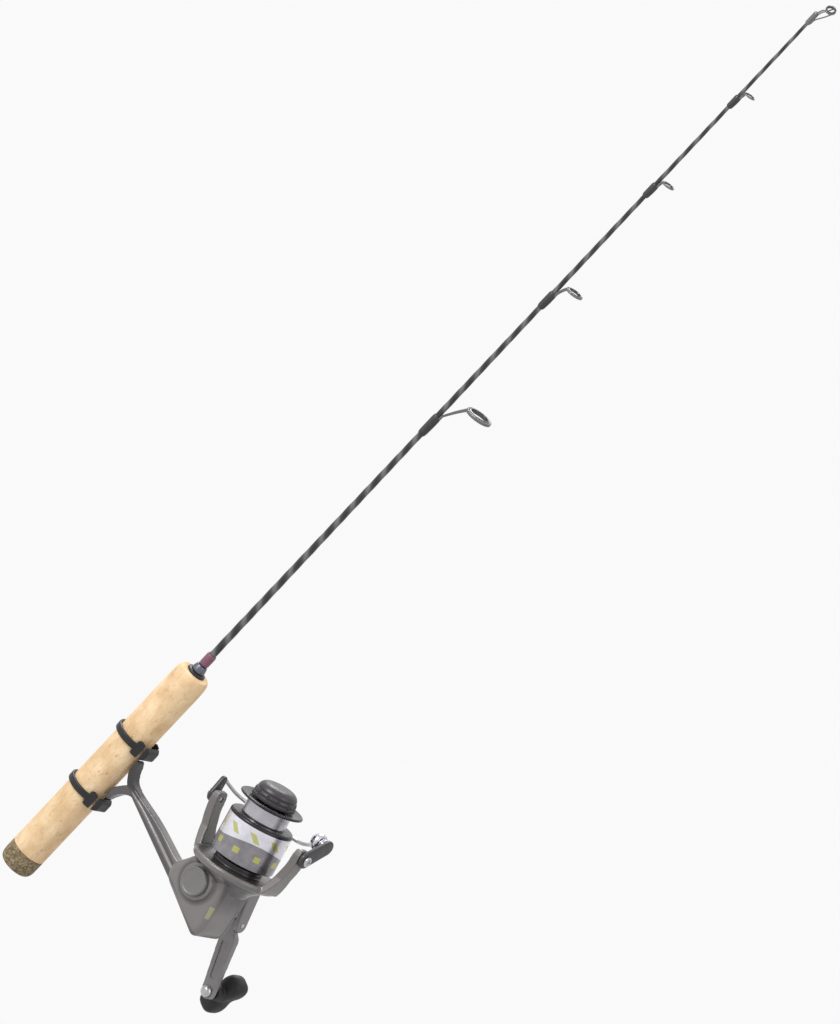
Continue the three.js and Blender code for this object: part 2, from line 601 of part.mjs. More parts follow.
// ---- spool, its shaft, crosshead and front drag ----
function makeSpool() {
  const bore = SHAFT_RADIUS + 0.3;
  const recess = 11.2;
  add(reel, "spool", turned([
    [SKIRT.rear, SKIRT.inner], [SKIRT.rear, SKIRT.outer - 0.3], [SKIRT.rear + 0.6, SKIRT.outer],
    [SKIRT.front, SKIRT.outer], [SKIRT.front + 0.9, SKIRT.outer - 0.9], [SKIRT.front + 0.9, 13.65],
    [LIP_X - 0.9, 13.65], [LIP_X, SKIRT.outer - 0.7], [LIP_X + 0.5, SKIRT.outer], [LIP_X + 1.2, SKIRT.outer],
    [LIP_X + 1.7, 18.9], [LIP_X + 1.1, 14.2], [LIP_X + 1.1, recess], [50.5, recess], [50.5, bore],
    [30, bore], [30, 6.5], [43.8, 6.5], [43.8, SKIRT.inner], [SKIRT.rear, SKIRT.inner],
  ], "x", FINE), SILVER);
  add(reel, "main_shaft", sleeve(OSC.x - 5.5, 67.5, SHAFT_RADIUS, 0, "x", SMALL), STEEL);
  const [headRear, headFront] = [OSC.x - 2.7, OSC.x + 2.7];
  const lug = block(headRear, headFront, RAIL.y - 1.8, -2, RAIL.z - 1.5, RAIL.z + 1.6);
  const cheek = prism(outline([
    [headRear, -3.2], [headFront, -3.2], [headFront, 10.9], [headRear + 1.2, 10.9], [headRear, 9],
  ]), "y", -3, 3.2);
  const head = join(cheek, lug);
  const slot = block(OSC.x - 1.4, OSC.x + 1.4, 2, 4, 0.2, 10.2);
  const shaftHole = sleeve(-24, -5, SHAFT_RADIUS + 0.1, 0, "x", SMALL);
  const railHole = sleeve(-24, -5, RAIL.radius + 0.3, 0, "x", TINY).translate(0, RAIL.y, RAIL.z);
  add(reel, "crosshead", cut(head, slot, shaftHole, railHole), DARK);
  const washers = [["drag_washer_1", FELT], ["drag_washer_2", STEEL], ["drag_washer_3", FELT]];
  washers.forEach(([name, look], i) => {
    add(reel, name, sleeve(50.8 + 1.3 * i, 51.8 + 1.3 * i, 10.7, SHAFT_RADIUS + 0.3, "x", ROUND), look);
  });
  add(reel, "drag_retainer", sleeve(54.8, 55.6, 10.8, 9.7, "x", ROUND), STEEL);
  const knobProfile = [
    [55.9, 0], [55.9, 9], [59.5, 9], [59.5, 13.7], [61.6, 13.7], [61.9, 12.9], [62.4, 12.9], [62.7, 13.3],
    [64.4, 12.8], [64.7, 12], [65.2, 12], [65.5, 12.3], [67.3, 11.4], [68.8, 9.6], [69.4, 7], [69.4, 0],
  ];
  const stud = sleeve(50, 67.8, SHAFT_RADIUS + 0.2, 0, "x", SMALL);
  add(reel, "drag_knob", cut(turned(knobProfile, "x", FINE), stud), DARK);
}

// ---- crank: folding arm, pins and paddle knob ----
function makeCrank() {
  const { y, pivot, length, endY } = CRANK;
  const stem = turned([
    [-14, 0], [-14, 2.4], [14.6, 2.4], [14.6, 6.2], [16, 6.4], [24, 5], [y - 5, 4.8], [y + 1, 4.8],
    [y + 1, 0],
  ], "y", SMALL);
  const knuckle = prism(link([0, -y, 5.6], [-pivot, -y, 4.9]), "z", -5.6, 5.6, 0.8).rotateX(Math.PI);
  const slot = block(-pivot - 8, -pivot + 5.5, y - 7, y + 9, -3, 3);
  const pinBore = sleeve(-9, 9, 1.5, 0, "z", TINY).translate(-pivot, y, 0);
  add(crank, "handle_shank", cut(join(stem, knuckle), slot, pinBore), BODY_GREY);
  add(crank, "fold_pin", sleeve(-5.9, 5.9, 1.35, 0, "z", TINY).translate(-pivot, y, 0), STEEL);

  const half = 2.5;
  const armSide = outline([
    [-pivot + 2.4, y - half], [-pivot + 2.6, y + half], [-pivot - 8, y + half + 0.8],
    [-length - 4.6, endY + half], [-length - 4.6, endY - half + 0.6], [-pivot - 8, y - half + 0.9],
  ], 1);
  const armTop = outline([
    [-pivot + 3, -2.7], [-pivot - 5.6, -2.7], [-pivot - 8.5, -5.6], [-length, -4.1], [-length - 3.4, -3.3],
    [-length - 4.6, 0], [-length - 3.4, 3.3], [-length, 4.1], [-pivot - 8.5, 5.6], [-pivot - 5.6, 2.7],
    [-pivot + 3, 2.7],
  ], 0.8);
  const arm = common(prism(armSide, "z", -8, 8), prism(armTop, "y", y - 8, endY + 8));
  const foldBore = sleeve(-9, 9, 1.6, 0, "z", TINY).translate(-pivot, y, 0);
  const knobBore = sleeve(endY - 9, endY + 9, 2.1, 0, "y", SMALL).translate(-length, 0, 0);
  add(crank, "crank_arm", cut(arm, foldBore, knobBore), BODY_GREY);
  const rivet = turned([
    [36.6, 0], [36.9, 1.8], [37.8, 3], [38.5, 3.4], [39.1, 3.4], [39.1, 1.9], [62.5, 1.9], [62.5, 0],
  ], "y", SMALL).translate(-length, 0, 0);
  add(crank, "knob_rivet", rivet, STEEL);

  // Two broad lobes either side of a waist.
  const lobes = outline([
    [-14.2, -2.5], [-11.6, -6.2], [-6.2, -6], [0, -4.8], [6.2, -6], [11.6, -6.2], [14.2, -2.5],
    [14.2, 2.5], [11.6, 6.2], [6.2, 6], [0, 4.8], [-6.2, 6], [-11.6, 6.2], [-14.2, 2.5],
  ], 2.2);
  const paddle = prism(lobes, "y", KNOB_Y, KNOB_Y + 15, 1.2);
  const collar = turned([[46.2, 0], [46.2, 4.2], [48, 4.8], [52, 6], [52, 0]], "y", SMALL);
  const knob = cut(join(paddle, collar), sleeve(40, 63, 2.15, 0, "y", TINY));
  const holder = new THREE.Group();
  holder.position.set(-length, 0, 0);
  holder.rotation.y = REEL_TILT - CRANK.lean + KNOB_TURN;
  crank.add(holder);
  add(holder, "handle_knob", knob, BLACK);
}

makeHandle();
makeBlank();
GUIDES.forEach((guide, i) => makeGuide(i + 1, guide));
makeTipTop();
makeClampRing("rear_ring", REAR_RING_X);
makeClampRing("front_ring", FRONT_RING_X);
makeReelBody();
makeCover();
makeBearings();
makeGears();
makeRotor();
makeBail();
makeSpool();
makeCrank();

reel.add(crank);
const iceRod = new THREE.Group();
iceRod.add(rod, reel);

export default iceRod;
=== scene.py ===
"""Looks for the ice fishing rod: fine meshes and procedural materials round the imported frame.

Shapes are written in millimetres, in the rod's frame or in the reel's and crank's own frames,
and are put into the row frame, in metres, when each mesh is made.
"""
import json
import math

import bmesh
import bpy
from mathutils import Matrix, Vector


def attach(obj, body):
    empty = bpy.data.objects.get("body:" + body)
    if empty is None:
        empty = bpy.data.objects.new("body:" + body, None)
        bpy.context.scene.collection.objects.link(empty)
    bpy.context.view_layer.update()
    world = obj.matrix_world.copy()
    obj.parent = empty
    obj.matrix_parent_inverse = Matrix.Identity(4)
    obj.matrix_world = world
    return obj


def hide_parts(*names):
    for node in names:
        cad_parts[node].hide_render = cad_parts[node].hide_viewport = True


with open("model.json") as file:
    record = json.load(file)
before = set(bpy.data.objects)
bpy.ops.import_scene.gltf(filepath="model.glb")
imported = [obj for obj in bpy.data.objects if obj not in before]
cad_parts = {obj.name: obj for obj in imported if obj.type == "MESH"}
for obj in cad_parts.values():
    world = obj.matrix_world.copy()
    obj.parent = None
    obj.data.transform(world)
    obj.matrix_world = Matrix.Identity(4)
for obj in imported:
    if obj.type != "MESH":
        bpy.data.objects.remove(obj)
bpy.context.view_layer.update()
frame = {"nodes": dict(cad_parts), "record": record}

MM = 0.001
TAU = 2 * math.pi

# ---- driving dimensions, as in the CAD model ----
CAP_LENGTH = 13.3
CORK_END = 160.0
CORK_RADIUS = 10.9
BLANK_START, BLANK_END = 5.0, 700.4
BLANK_BUTT_RADIUS, BLANK_TIP_RADIUS = 2.6, 1.0
TAPE_PITCH = 13.6
REAR_RING_X, FRONT_RING_X = 65.2, 106.9
REEL_ORIGIN = (93.2, 0.0, -108.5)
REEL_TILT = math.radians(16)
DRIVE_Z = 9.5
CRANK_LEAN = math.radians(-6.8)
CRANK_Y, CRANK_PIVOT, CRANK_LENGTH, CRANK_END_Y = 39.0, 20.0, 63.0, 42.0
KNOB_TURN = math.radians(14)
COVER_Y, COVER_FACE = 9.1, 12.4
BAIL_X, BAIL_FACE = 43.0, 35.4
ROLLER_X, ROLLER_Y = 52.6, 14.5
SKIRT_REAR, SKIRT_FRONT, SKIRT_RADIUS, SKIRT_INNER = 22.0, 46.7, 19.75, 18.3
LIP_X = 57.4
GUIDES = [
    {"leg": 373.5, "ring": (391.3, -19.4), "size": 16.6, "foot": 15},
    {"leg": 474.3, "ring": (482.6, -9.9), "size": 11, "foot": 12},
    {"leg": 563.2, "ring": (567.0, -6.3), "size": 8, "foot": 10},
    {"leg": 634.9, "ring": (638.6, -5.2), "size": 6.8, "foot": 9},
]
GUIDE_LEAN = math.radians(8)
TIP = {"x": 708.6, "z": -5.2, "outer": 3.15, "turn": math.radians(-38)}
HOUSING = [
    (12, -10.5), (-8, -8.4), (-23.5, -7.4), (-29.2, -2.8), (-25.4, 3.4), (-9, 30.5), (0.5, 31.5),
    (7.5, 24), (12, 20.5),
]
CAVITY = [
    (9.4, -7.4), (-8, -6), (-22.6, -5.2), (-26, -2.4), (-22.8, 3.6), (-11.5, 22), (4, 22.5),
    (11.2, 16), (11.2, 2),
]
COVER_BOSSES = [(-4.5, 27.3), (-24.3, -2.6), (-3.5, -5.6)]

ROD = Matrix.Identity(4)
REEL = Matrix.Translation(REEL_ORIGIN) @ Matrix.Rotation(-REEL_TILT, 4, "Y")
CRANK = REEL @ Matrix.Translation((0, 0, DRIVE_Z)) @ Matrix.Rotation(CRANK_LEAN, 4, "Y")
HALF_TURN = Matrix.Rotation(math.pi, 4, "X")


def blank_radius(x):
    share = (x - BLANK_START) / (BLANK_END - BLANK_START)
    return BLANK_BUTT_RADIUS + (BLANK_TIP_RADIUS - BLANK_BUTT_RADIUS) * share


# ---- materials ----
def linear(red, green, blue):
    """An sRGB colour, 0 to 255, as linear values."""
    def one(value):
        value /= 255
        return value / 12.92 if value <= 0.04045 else ((value + 0.055) / 1.055) ** 2.4
    return (one(red), one(green), one(blue), 1.0)


class Surface:
    """A procedural material: a Principled shader and short helpers for the nodes that feed it."""

    def __init__(self, name, rough, metal=0.0, coat=0.0, coat_rough=0.08, specular=0.5):
        self.material = bpy.data.materials.new(name)
        self.material.use_nodes = True
        self.tree = self.material.node_tree
        self.shader = self.tree.nodes["Principled BSDF"]
        self.shader.inputs["Roughness"].default_value = rough
        self.shader.inputs["Metallic"].default_value = metal
        self.shader.inputs["Coat Weight"].default_value = coat
        self.shader.inputs["Coat Roughness"].default_value = coat_rough
        self.shader.inputs["Specular IOR Level"].default_value = specular
        self.coords = self.tree.nodes.new("ShaderNodeTexCoord").outputs["Object"]

    def put(self, socket, value):
        if isinstance(value, bpy.types.NodeSocket):
            self.tree.links.new(value, socket)
        else:
            socket.default_value = value

    def math(self, operation, first, second=0.0, third=0.0):
        node = self.tree.nodes.new("ShaderNodeMath")
        node.operation = operation
        for socket, value in zip(node.inputs, (first, second, third)):
            self.put(socket, value)
        return node.outputs[0]

    def times(self, first, second):
        return self.math("MULTIPLY", first, second)

    def plus(self, first, second):
        return self.math("ADD", first, second)

    def minus(self, first, second):
        return self.math("SUBTRACT", first, second)

    def over(self, first, second):
        return self.math("DIVIDE", first, second)

    def below(self, value, limit):
        return self.math("LESS_THAN", value, limit)

    def above(self, value, limit):
        return self.math("GREATER_THAN", value, limit)

    def distance(self, first, second):
        """How far a point at (first, second) is from the origin; POWER needs bases that aren't negative."""
        squares = [self.math("POWER", self.math("ABSOLUTE", value), 2) for value in (first, second)]
        return self.math("POWER", self.plus(*squares), 0.5)

    def along(self, direction):
        """The distance in metres along a direction of the row frame."""
        node = self.tree.nodes.new("ShaderNodeVectorMath")
        node.operation = "DOT_PRODUCT"
        self.put(node.inputs[0], self.coords)
        node.inputs[1].default_value = direction
        return node.outputs["Value"]

    def from_reel(self, direction):
        """The distance in metres along a direction, counted from the reel's origin."""
        return self.minus(self.along(direction), direction.dot(Vector(REEL_ORIGIN) * MM))

    def moved(self, scale):
        node = self.tree.nodes.new("ShaderNodeMapping")
        self.put(node.inputs["Vector"], self.coords)
        node.inputs["Scale"].default_value = scale
        return node.outputs["Vector"]

    def noise(self, size_mm, detail, rough=0.55, vector=None):
        node = self.tree.nodes.new("ShaderNodeTexNoise")
        self.put(node.inputs["Vector"], vector or self.coords)
        node.inputs["Scale"].default_value = 1000 / size_mm
        node.inputs["Detail"].default_value = detail
        node.inputs["Roughness"].default_value = rough
        return node.outputs["Fac"]

    def cells(self, size_mm, output="Distance", vector=None):
        node = self.tree.nodes.new("ShaderNodeTexVoronoi")
        self.put(node.inputs["Vector"], vector or self.coords)
        node.inputs["Scale"].default_value = 1000 / size_mm
        return node.outputs[output]

    def ramp(self, value, *stops):
        """stops are (position, colour or grey)."""
        node = self.tree.nodes.new("ShaderNodeValToRGB")
        self.put(node.inputs["Fac"], value)
        while len(node.color_ramp.elements) < len(stops):
            node.color_ramp.elements.new(0.5)
        for element, (position, colour) in zip(node.color_ramp.elements, stops):
            element.position = position
            element.color = colour if isinstance(colour, tuple) else (colour, colour, colour, 1)
        return node.outputs["Color"]

    def mix(self, share, first, second, blend="MIX"):
        node = self.tree.nodes.new("ShaderNodeMix")
        node.data_type = "RGBA"
        node.blend_type = blend
        self.put(node.inputs["Factor"], share)
        self.put(node.inputs[6], first)
        self.put(node.inputs[7], second)
        return node.outputs[2]

    def bump(self, height, depth_mm, strength):
        node = self.tree.nodes.new("ShaderNodeBump")
        node.inputs["Strength"].default_value = strength
        node.inputs["Distance"].default_value = depth_mm * MM
        self.put(node.inputs["Height"], height)
        self.put(self.shader.inputs["Normal"], node.outputs["Normal"])

    def colour(self, value):
        self.put(self.shader.inputs["Base Color"], value)

    def roughness(self, value):
        self.put(self.shader.inputs["Roughness"], value)


AXIS = REEL.to_3x3() @ Vector((1, 0, 0))
UP = REEL.to_3x3() @ Vector((0, 0, 1))


def cork():
    s = Surface("cork", 0.78, specular=0.25)
    stretched = s.moved((0.6, 1, 1))
    patches = s.noise(9, 4, 0.6, stretched)
    base = s.ramp(patches, (0.3, linear(198, 165, 124)), (0.52, linear(214, 184, 145)),
                  (0.7, linear(225, 199, 163)))
    flecks = s.ramp(s.noise(1.6, 5, 0.7, s.moved((0.45, 1, 1))), (0.33, 0.78), (0.46, 1.0))
    speckled = s.mix(1.0, base, flecks, "MULTIPLY")
    pit_shape = s.cells(5.2, vector=s.moved((0.55, 1, 1)))
    pit_edge = s.plus(pit_shape, s.times(s.noise(2.2, 3), 0.28))
    pits = s.ramp(pit_edge, (0.19, 1.0), (0.26, 0.0))
    pitted = s.mix(s.times(pits, 0.5), speckled, linear(150, 112, 76))
    seam = s.math("PINGPONG", s.along((1, 0, 0)), 6.35 * MM)
    joint = s.ramp(s.times(seam, 1000), (0.05, 1.0), (0.2, 0.0))
    s.colour(s.mix(s.times(joint, 0.2), pitted, linear(160, 122, 84)))
    s.roughness(s.ramp(patches, (0.3, 0.72), (0.7, 0.86)))
    height = s.minus(s.times(s.noise(0.9, 4), 0.35), pits)
    s.bump(height, 0.22, 0.7)
    return s.material


def composite_cork():
    s = Surface("composite_cork", 0.7, specular=0.3)
    grain = s.cells(1.0, "Color")
    shade = s.ramp(grain, (0.15, linear(90, 78, 58)), (0.45, linear(116, 102, 77)),
                   (0.7, linear(132, 117, 90)), (0.93, linear(154, 137, 107)))
    dark = s.ramp(s.noise(0.8, 3, 0.7), (0.38, 0.75), (0.5, 1.0))
    s.colour(s.mix(1.0, shade, dark, "MULTIPLY"))
    s.roughness(s.ramp(s.noise(2, 2), (0.3, 0.6), (0.7, 0.82)))
    s.bump(s.plus(s.cells(1.5), s.noise(0.5, 2)), 0.1, 0.6)
    return s.material


def graphite():
    """Clear-coated dark blank with the spiral left by its wrapping tape."""
    s = Surface("blank", 0.4, 0.15, coat=0.4, coat_rough=0.15)
    turn = s.over(s.math("ARCTAN2", s.along((0, 0, 1)), s.along((0, 1, 0))), TAU)
    phase = s.plus(turn, s.over(s.along((1, 0, 0)), TAPE_PITCH * MM))
    spiral = s.math("PINGPONG", phase, 0.5)
    wide = s.times(spiral, 2)
    tone = s.ramp(wide, (0.1, linear(28, 28, 30)), (0.5, linear(48, 48, 49)), (0.86, linear(98, 98, 96)))
    fine = s.ramp(s.noise(0.7, 4, 0.6, s.moved((0.25, 1, 1))), (0.35, 0.8), (0.65, 1.1))
    s.colour(s.mix(1.0, tone, fine, "MULTIPLY"))
    s.roughness(s.ramp(wide, (0.1, 0.3), (0.9, 0.48)))
    s.bump(wide, 0.06, 0.5)
    return s.material


def scaled(colour, factor):
    return tuple(c * factor for c in colour[:3]) + (1,)


def moulded(name, colour, rough, grain_mm, depth, coat=0.0):
    """Moulded surface: soft colour drift, fine grain and wear in the gloss."""
    s = Surface(name, rough, coat=coat)
    s.colour(s.ramp(s.noise(14, 4), (0.3, scaled(colour, 0.88)), (0.7, scaled(colour, 1.12))))
    s.roughness(s.ramp(s.noise(5, 5, 0.65), (0.3, max(0.05, rough - 0.07)), (0.7, rough + 0.08)))
    s.bump(s.noise(grain_mm, 3, 0.6), depth, 0.5)
    return s.material


def lacquer_surface(name, rough):
    return Surface(name, rough, 0.35, coat=0.35, coat_rough=0.2)


def flaked(s, colour, shade, low, high):
    """A slow drift of the colour, speckled by metal flake between low and high brightness."""
    drift = s.ramp(s.noise(25, 3), (0.3, scaled(colour, shade)), (0.7, colour))
    flake = s.ramp(s.cells(0.28, "Color"), (0.0, low), (1.0, high))
    return s.mix(1.0, drift, flake, "MULTIPLY")


def lacquered(s, colour, rough):
    """Finishes a lacquer: its colour, uneven gloss and faint orange peel."""
    s.colour(colour)
    s.roughness(s.ramp(s.noise(6, 4, 0.6), (0.3, rough - 0.06), (0.7, rough + 0.07)))
    s.bump(s.noise(0.9, 3), 0.02, 0.5)
    return s.material


def lacquer(name, colour, rough):
    """Grey lacquer with fine metal flake under a clear coat."""
    s = lacquer_surface(name, rough)
    return lacquered(s, flaked(s, colour, 0.92, 0.86, 1.16), rough)


def casting():
    """Body lacquer with painted shade down the housing's back, along its bottom and in a ring round the boss
    rim; the front branch darker; a generic stripe.
    """
    rough = 0.42
    s = lacquer_surface("casting_grey", rough)
    x, z = (s.times(s.from_reel(direction), 1000) for direction in (AXIS, UP))
    base = flaked(s, linear(116, 112, 112), 0.9, 0.9, 1.12)
    # Painted shade: a dark band down the housing's back and the stem's edges, lifted along the stem's ridge.
    inward = s.minus(s.times(s.plus(x, 29.2), 0.855), s.times(s.plus(z, 2.8), 0.5186))
    spine_shade = s.ramp(s.over(inward, 10), (0.24, 1.0), (0.4, 0.0))
    # Painted shade along the housing's bottom.
    floor_line = s.plus(z, s.minus(9.45, s.times(x, 0.0873)))
    bottom = s.ramp(s.over(floor_line, 10), (0.06, 1.0), (0.24, 0.0))
    # Painted shadow in a ring round the boss rim.
    reach = s.distance(x, s.minus(z, DRIVE_Z))
    ring = s.ramp(s.over(reach, 20), (0.53, 0.0), (0.57, 1.0), (0.62, 1.0), (0.72, 0.0))
    row_x, row_z = (s.times(s.along(direction), 1000) for direction in ((1, 0, 0), (0, 0, 1)))
    offset = s.minus(s.times(s.minus(row_x, 86.9), 0.984), s.times(s.plus(row_z, 26.6), 0.1747))
    ridge = s.ramp(s.math("ABSOLUTE", s.over(offset, 5)), (0.08, 1.0), (0.26, 0.0))
    on_stem = s.times(ridge, s.below(row_z, -22.0))
    edge_shade = s.times(spine_shade, s.minus(1.0, s.times(on_stem, 0.85)))
    shade = s.math("MAXIMUM", s.times(edge_shade, 0.62),
                   s.math("MAXIMUM", s.times(bottom, 0.6), s.times(ring, 0.5)))
    toned = s.mix(shade, base, linear(38, 36, 38))
    front_branch = s.times(s.ramp(s.over(s.minus(row_x, 84.0), 10), (0.15, 0.0), (0.35, 1.0)),
                           s.above(row_z, -31.0))
    toned = s.mix(s.times(front_branch, 0.9), toned, linear(42, 40, 42))
    stripe = s.times(s.below(s.math("ABSOLUTE", s.plus(x, 11.3)), 3.8),
                     s.below(s.math("ABSOLUTE", s.plus(z, 7.0)), 1.3))
    near = s.below(s.along((0, 1, 0)), -12.6 * MM)
    striped = s.mix(s.times(s.times(stripe, near), 0.5), toned, linear(168, 172, 120))
    return lacquered(s, striped, rough)


def rotor_lacquer():
    """Grey lacquer with painted shade in the cup."""
    rough = 0.38
    s = lacquer_surface("rotor_lacquer", rough)
    x, z = (s.times(s.from_reel(direction), 1000) for direction in (AXIS, UP))
    y = s.times(s.along((0, 1, 0)), 1000)
    # Painted shade in the rotor's cup.
    cup_shade = s.times(s.below(s.distance(y, z), 24.6), s.above(x, 14.2))
    base = flaked(s, linear(106, 102, 101), 0.9, 0.9, 1.12)
    return lacquered(s, s.mix(s.times(cup_shade, 0.85), base, linear(30, 28, 30)), rough)


def polished(name, colour, rough, brushed_mm=0.25, metal=1.0):
    """Machined metal with fine turning lines square to the reel's axis."""
    s = Surface(name, rough, metal)
    lines = s.times(s.along(AXIS), TAU / (brushed_mm * MM))
    groove = s.math("SINE", s.plus(lines, s.times(s.noise(3, 2), 3)))
    s.colour(s.ramp(s.noise(8, 4), (0.3, scaled(colour, 0.86)), (0.7, colour)))
    s.roughness(s.ramp(s.noise(1.2, 4), (0.3, max(0.06, rough - 0.06)), (0.7, rough + 0.1)))
    s.bump(groove, 0.006, 0.35)
    return s.material


def spool_metal():
    """Silver anodised skirt with a generic band of slanted yellow-green dashes, a grey rear and a darker
    arbor; painted shade where the skirt steps down to the arbor, and the front lip dark grey with painted
    shade in the groove at its foot.
    """
    s = Surface("spool_silver", 0.27, 0.85)
    x, z = s.from_reel(AXIS), s.from_reel(UP)
    turn = s.over(s.math("ARCTAN2", z, s.along((0, 1, 0))), TAU)
    silver = s.ramp(s.noise(10, 3), (0.3, linear(208, 206, 214)), (0.7, linear(232, 230, 238)))
    grey = s.ramp(s.noise(5, 3), (0.3, linear(128, 126, 130)), (0.7, linear(150, 148, 152)))
    wave = s.times(s.math("SINE", s.times(turn, 2 * TAU)), 2.2 * MM)
    rear_end = s.plus(34.5 * MM, wave)
    rear = s.below(x, rear_end)
    metal = s.mix(rear, silver, grey)
    slant = s.math("FRACT", s.plus(s.times(turn, 9), s.times(x, 70)))
    dash = s.below(slant, 0.3)
    band = s.times(s.above(x, 37.5 * MM), s.below(x, 42.5 * MM))
    accent = s.times(dash, band)
    low_band = s.times(s.above(x, 27.5 * MM), s.below(x, 31 * MM))
    low_slant = s.below(s.math("FRACT", s.plus(s.times(turn, 9), 0.3)), 0.3)
    accents = s.math("MAXIMUM", accent, s.times(low_band, low_slant))
    painted = s.mix(s.times(accents, 0.85), metal, linear(186, 186, 98))
    # Painted shade where the skirt steps down to the arbor.
    shoulder_shade = s.times(s.above(x, 45.4 * MM), s.below(x, 48.4 * MM))
    # The front lip: its own dark grey, plus painted shade in the groove at its foot.
    lip = s.above(x, 55.9 * MM)
    arbor = s.above(x, 48.4 * MM)
    painted = s.mix(s.times(arbor, 0.5), painted, linear(128, 125, 128))
    s.colour(s.mix(s.math("MAXIMUM", shoulder_shade, lip), painted, linear(58, 55, 58)))
    lines = s.math("SINE", s.times(x, TAU / (1.1 * MM)))
    s.roughness(s.ramp(s.noise(4, 3), (0.3, 0.24), (0.7, 0.34)))
    s.bump(lines, 0.003, 0.2)
    return s.material


def thread(name, colour):
    """Fine thread turns laid side by side under clear epoxy, with painted shade between the turns."""
    s = Surface(name, 0.5, coat=0.35, coat_rough=0.15)
    lines = s.math("SINE", s.times(s.along((1, 0, 0)), TAU / (0.32 * MM)))
    # Painted shade in the creases between the turns.
    shade = s.ramp(s.math("MULTIPLY_ADD", lines, 0.5, 0.5),
                   (0.0, scaled(colour, 0.55)), (1.0, colour))
    s.colour(s.mix(0.3, shade, s.ramp(s.noise(2, 3), (0.3, 0.0), (0.7, 0.04)), "ADD"))
    s.bump(lines, 0.03, 0.5)
    return s.material


def felt():
    s = Surface("felt", 0.95, specular=0.1)
    s.colour(s.ramp(s.noise(0.6, 5, 0.7), (0.3, linear(48, 46, 42)), (0.7, linear(74, 70, 64))))
    s.bump(s.noise(0.25, 4), 0.06, 0.8)
    return s.material


LOOKS = {
    "cork": cork(),
    "composite_cork": composite_cork(),
    "blank": graphite(),
    "black_plastic": moulded("black_plastic", linear(21, 20, 22), 0.45, 0.5, 0.02),
    "soft_black": moulded("soft_black", linear(15, 14, 16), 0.6, 0.3, 0.03),
    "dark_plastic": moulded("dark_plastic", linear(50, 47, 50), 0.4, 0.45, 0.02),
    "body_grey": lacquer("body_grey", linear(112, 109, 109), 0.42),
    "arm_grey": lacquer("arm_grey", linear(116, 112, 113), 0.4),
    "rotor_grey": rotor_lacquer(),
    "silver": polished("silver", linear(214, 212, 220), 0.2),
    "steel": polished("steel", linear(190, 190, 194), 0.2, 0.5),
    "brass": polished("brass", linear(196, 164, 98), 0.28),
    "thread": thread("thread", linear(24, 24, 27)),
    "maroon_thread": thread("maroon_thread", linear(122, 70, 92)),
    "ceramic": moulded("ceramic", linear(52, 52, 58), 0.14, 0.8, 0.004, coat=0.5),
    "felt": felt(),
}
SPOOL_LOOK = spool_metal()
TRIM_LOOK = polished("trim_metal", linear(112, 114, 124), 0.3)
GUIDE_LOOK = polished("guide_metal", linear(112, 111, 112), 0.34, 0.6, metal=0.6)
BODY_LOOK = casting()


# ---- mesh helpers: everything below is in millimetres until fine() ----
def soft(points, reach, closed=True, steps=4):
    """The outline with each corner rounded; reach is one number or one for each point."""
    count = len(points)
    reaches = reach if isinstance(reach, (list, tuple)) else [reach] * count
    out = []
    for i, point in enumerate(points):
        here = Vector(point)
        if reaches[i] <= 0 or (not closed and i in (0, count - 1)):
            out.append(here)
            continue
        before = Vector(points[i - 1]) - here
        after = Vector(points[(i + 1) % count]) - here
        start = here + before.normalized() * min(reaches[i], before.length * 0.48)
        end = here + after.normalized() * min(reaches[i], after.length * 0.48)
        for k in range(steps + 1):
            t = k / steps
            out.append(start * (1 - t) ** 2 + here * 2 * t * (1 - t) + end * t ** 2)
    return out


def turned(profile, axis="x", segments=96, reach=0.0, centre=(0, 0, 0), closed=False):
    """A solid of revolution from [along, radius] points; closed means a ring with a bore."""
    points = soft(profile, reach, closed) if reach else [Vector(p) for p in profile]
    bm = bmesh.new()
    rings = []
    for along, radius in points:
        if radius < 1e-6:
            rings.append([bm.verts.new((0, 0, along))])
            continue
        rings.append([
            bm.verts.new((radius * math.cos(angle), radius * math.sin(angle), along))
            for angle in (TAU * k / segments for k in range(segments))
        ])
    pairs = list(zip(rings, rings[1:] + ([rings[0]] if closed else [])))
    for low, high in (pairs if closed else pairs[:len(rings) - 1]):
        for k in range(segments):
            after = (k + 1) % segments
            corners = ((low, k), (low, after), (high, after), (high, k))
            face = list(dict.fromkeys(ring[i % len(ring)] for ring, i in corners))
            if len(face) > 2:
                bm.faces.new(face)
    bmesh.ops.recalc_face_normals(bm, faces=bm.faces)
    matrix = {
        "x": Matrix.Rotation(math.pi / 2, 4, "Y"),
        "y": Matrix.Rotation(-math.pi / 2, 4, "X"),
        "z": Matrix.Identity(4),
    }[axis]
    bm.transform(Matrix.Translation(centre) @ matrix)
    return bm


def cylinder(low, high, radius, axis="x", segments=96, **options):
    return turned([(low, 0), (low, radius), (high, radius), (high, 0)], axis, segments, **options)


def prism(points, axis, low, high, bevel=0.0, segments=3):
    """An outline pulled along an axis. Outlines lie in XZ for y, YZ for x and XY for z."""
    place = {
        "x": lambda a, b, c: (c, a, b),
        "y": lambda a, b, c: (a, c, b),
        "z": lambda a, b, c: (a, b, c),
    }[axis]
    bm = bmesh.new()
    bottom = [bm.verts.new(place(p[0], p[1], low)) for p in points]
    top = [bm.verts.new(place(p[0], p[1], high)) for p in points]
    caps = [bm.faces.new(bottom), bm.faces.new(list(reversed(top)))]
    count = len(points)
    for k in range(count):
        after = (k + 1) % count
        bm.faces.new([bottom[k], top[k], top[after], bottom[after]])
    bmesh.ops.recalc_face_normals(bm, faces=bm.faces)
    if bevel:
        rim = [e for e in bm.edges if any(f in caps for f in e.link_faces)]
        bmesh.ops.bevel(bm, geom=rim, offset=bevel, segments=segments, affect="EDGES", profile=0.5)
    return bm


def block(low_corner, high_corner, *pull):
    """A prism on the rectangle between two opposite corners."""
    (a, b), (c, d) = low_corner, high_corner
    return prism([(a, b), (c, b), (c, d), (a, d)], *pull)


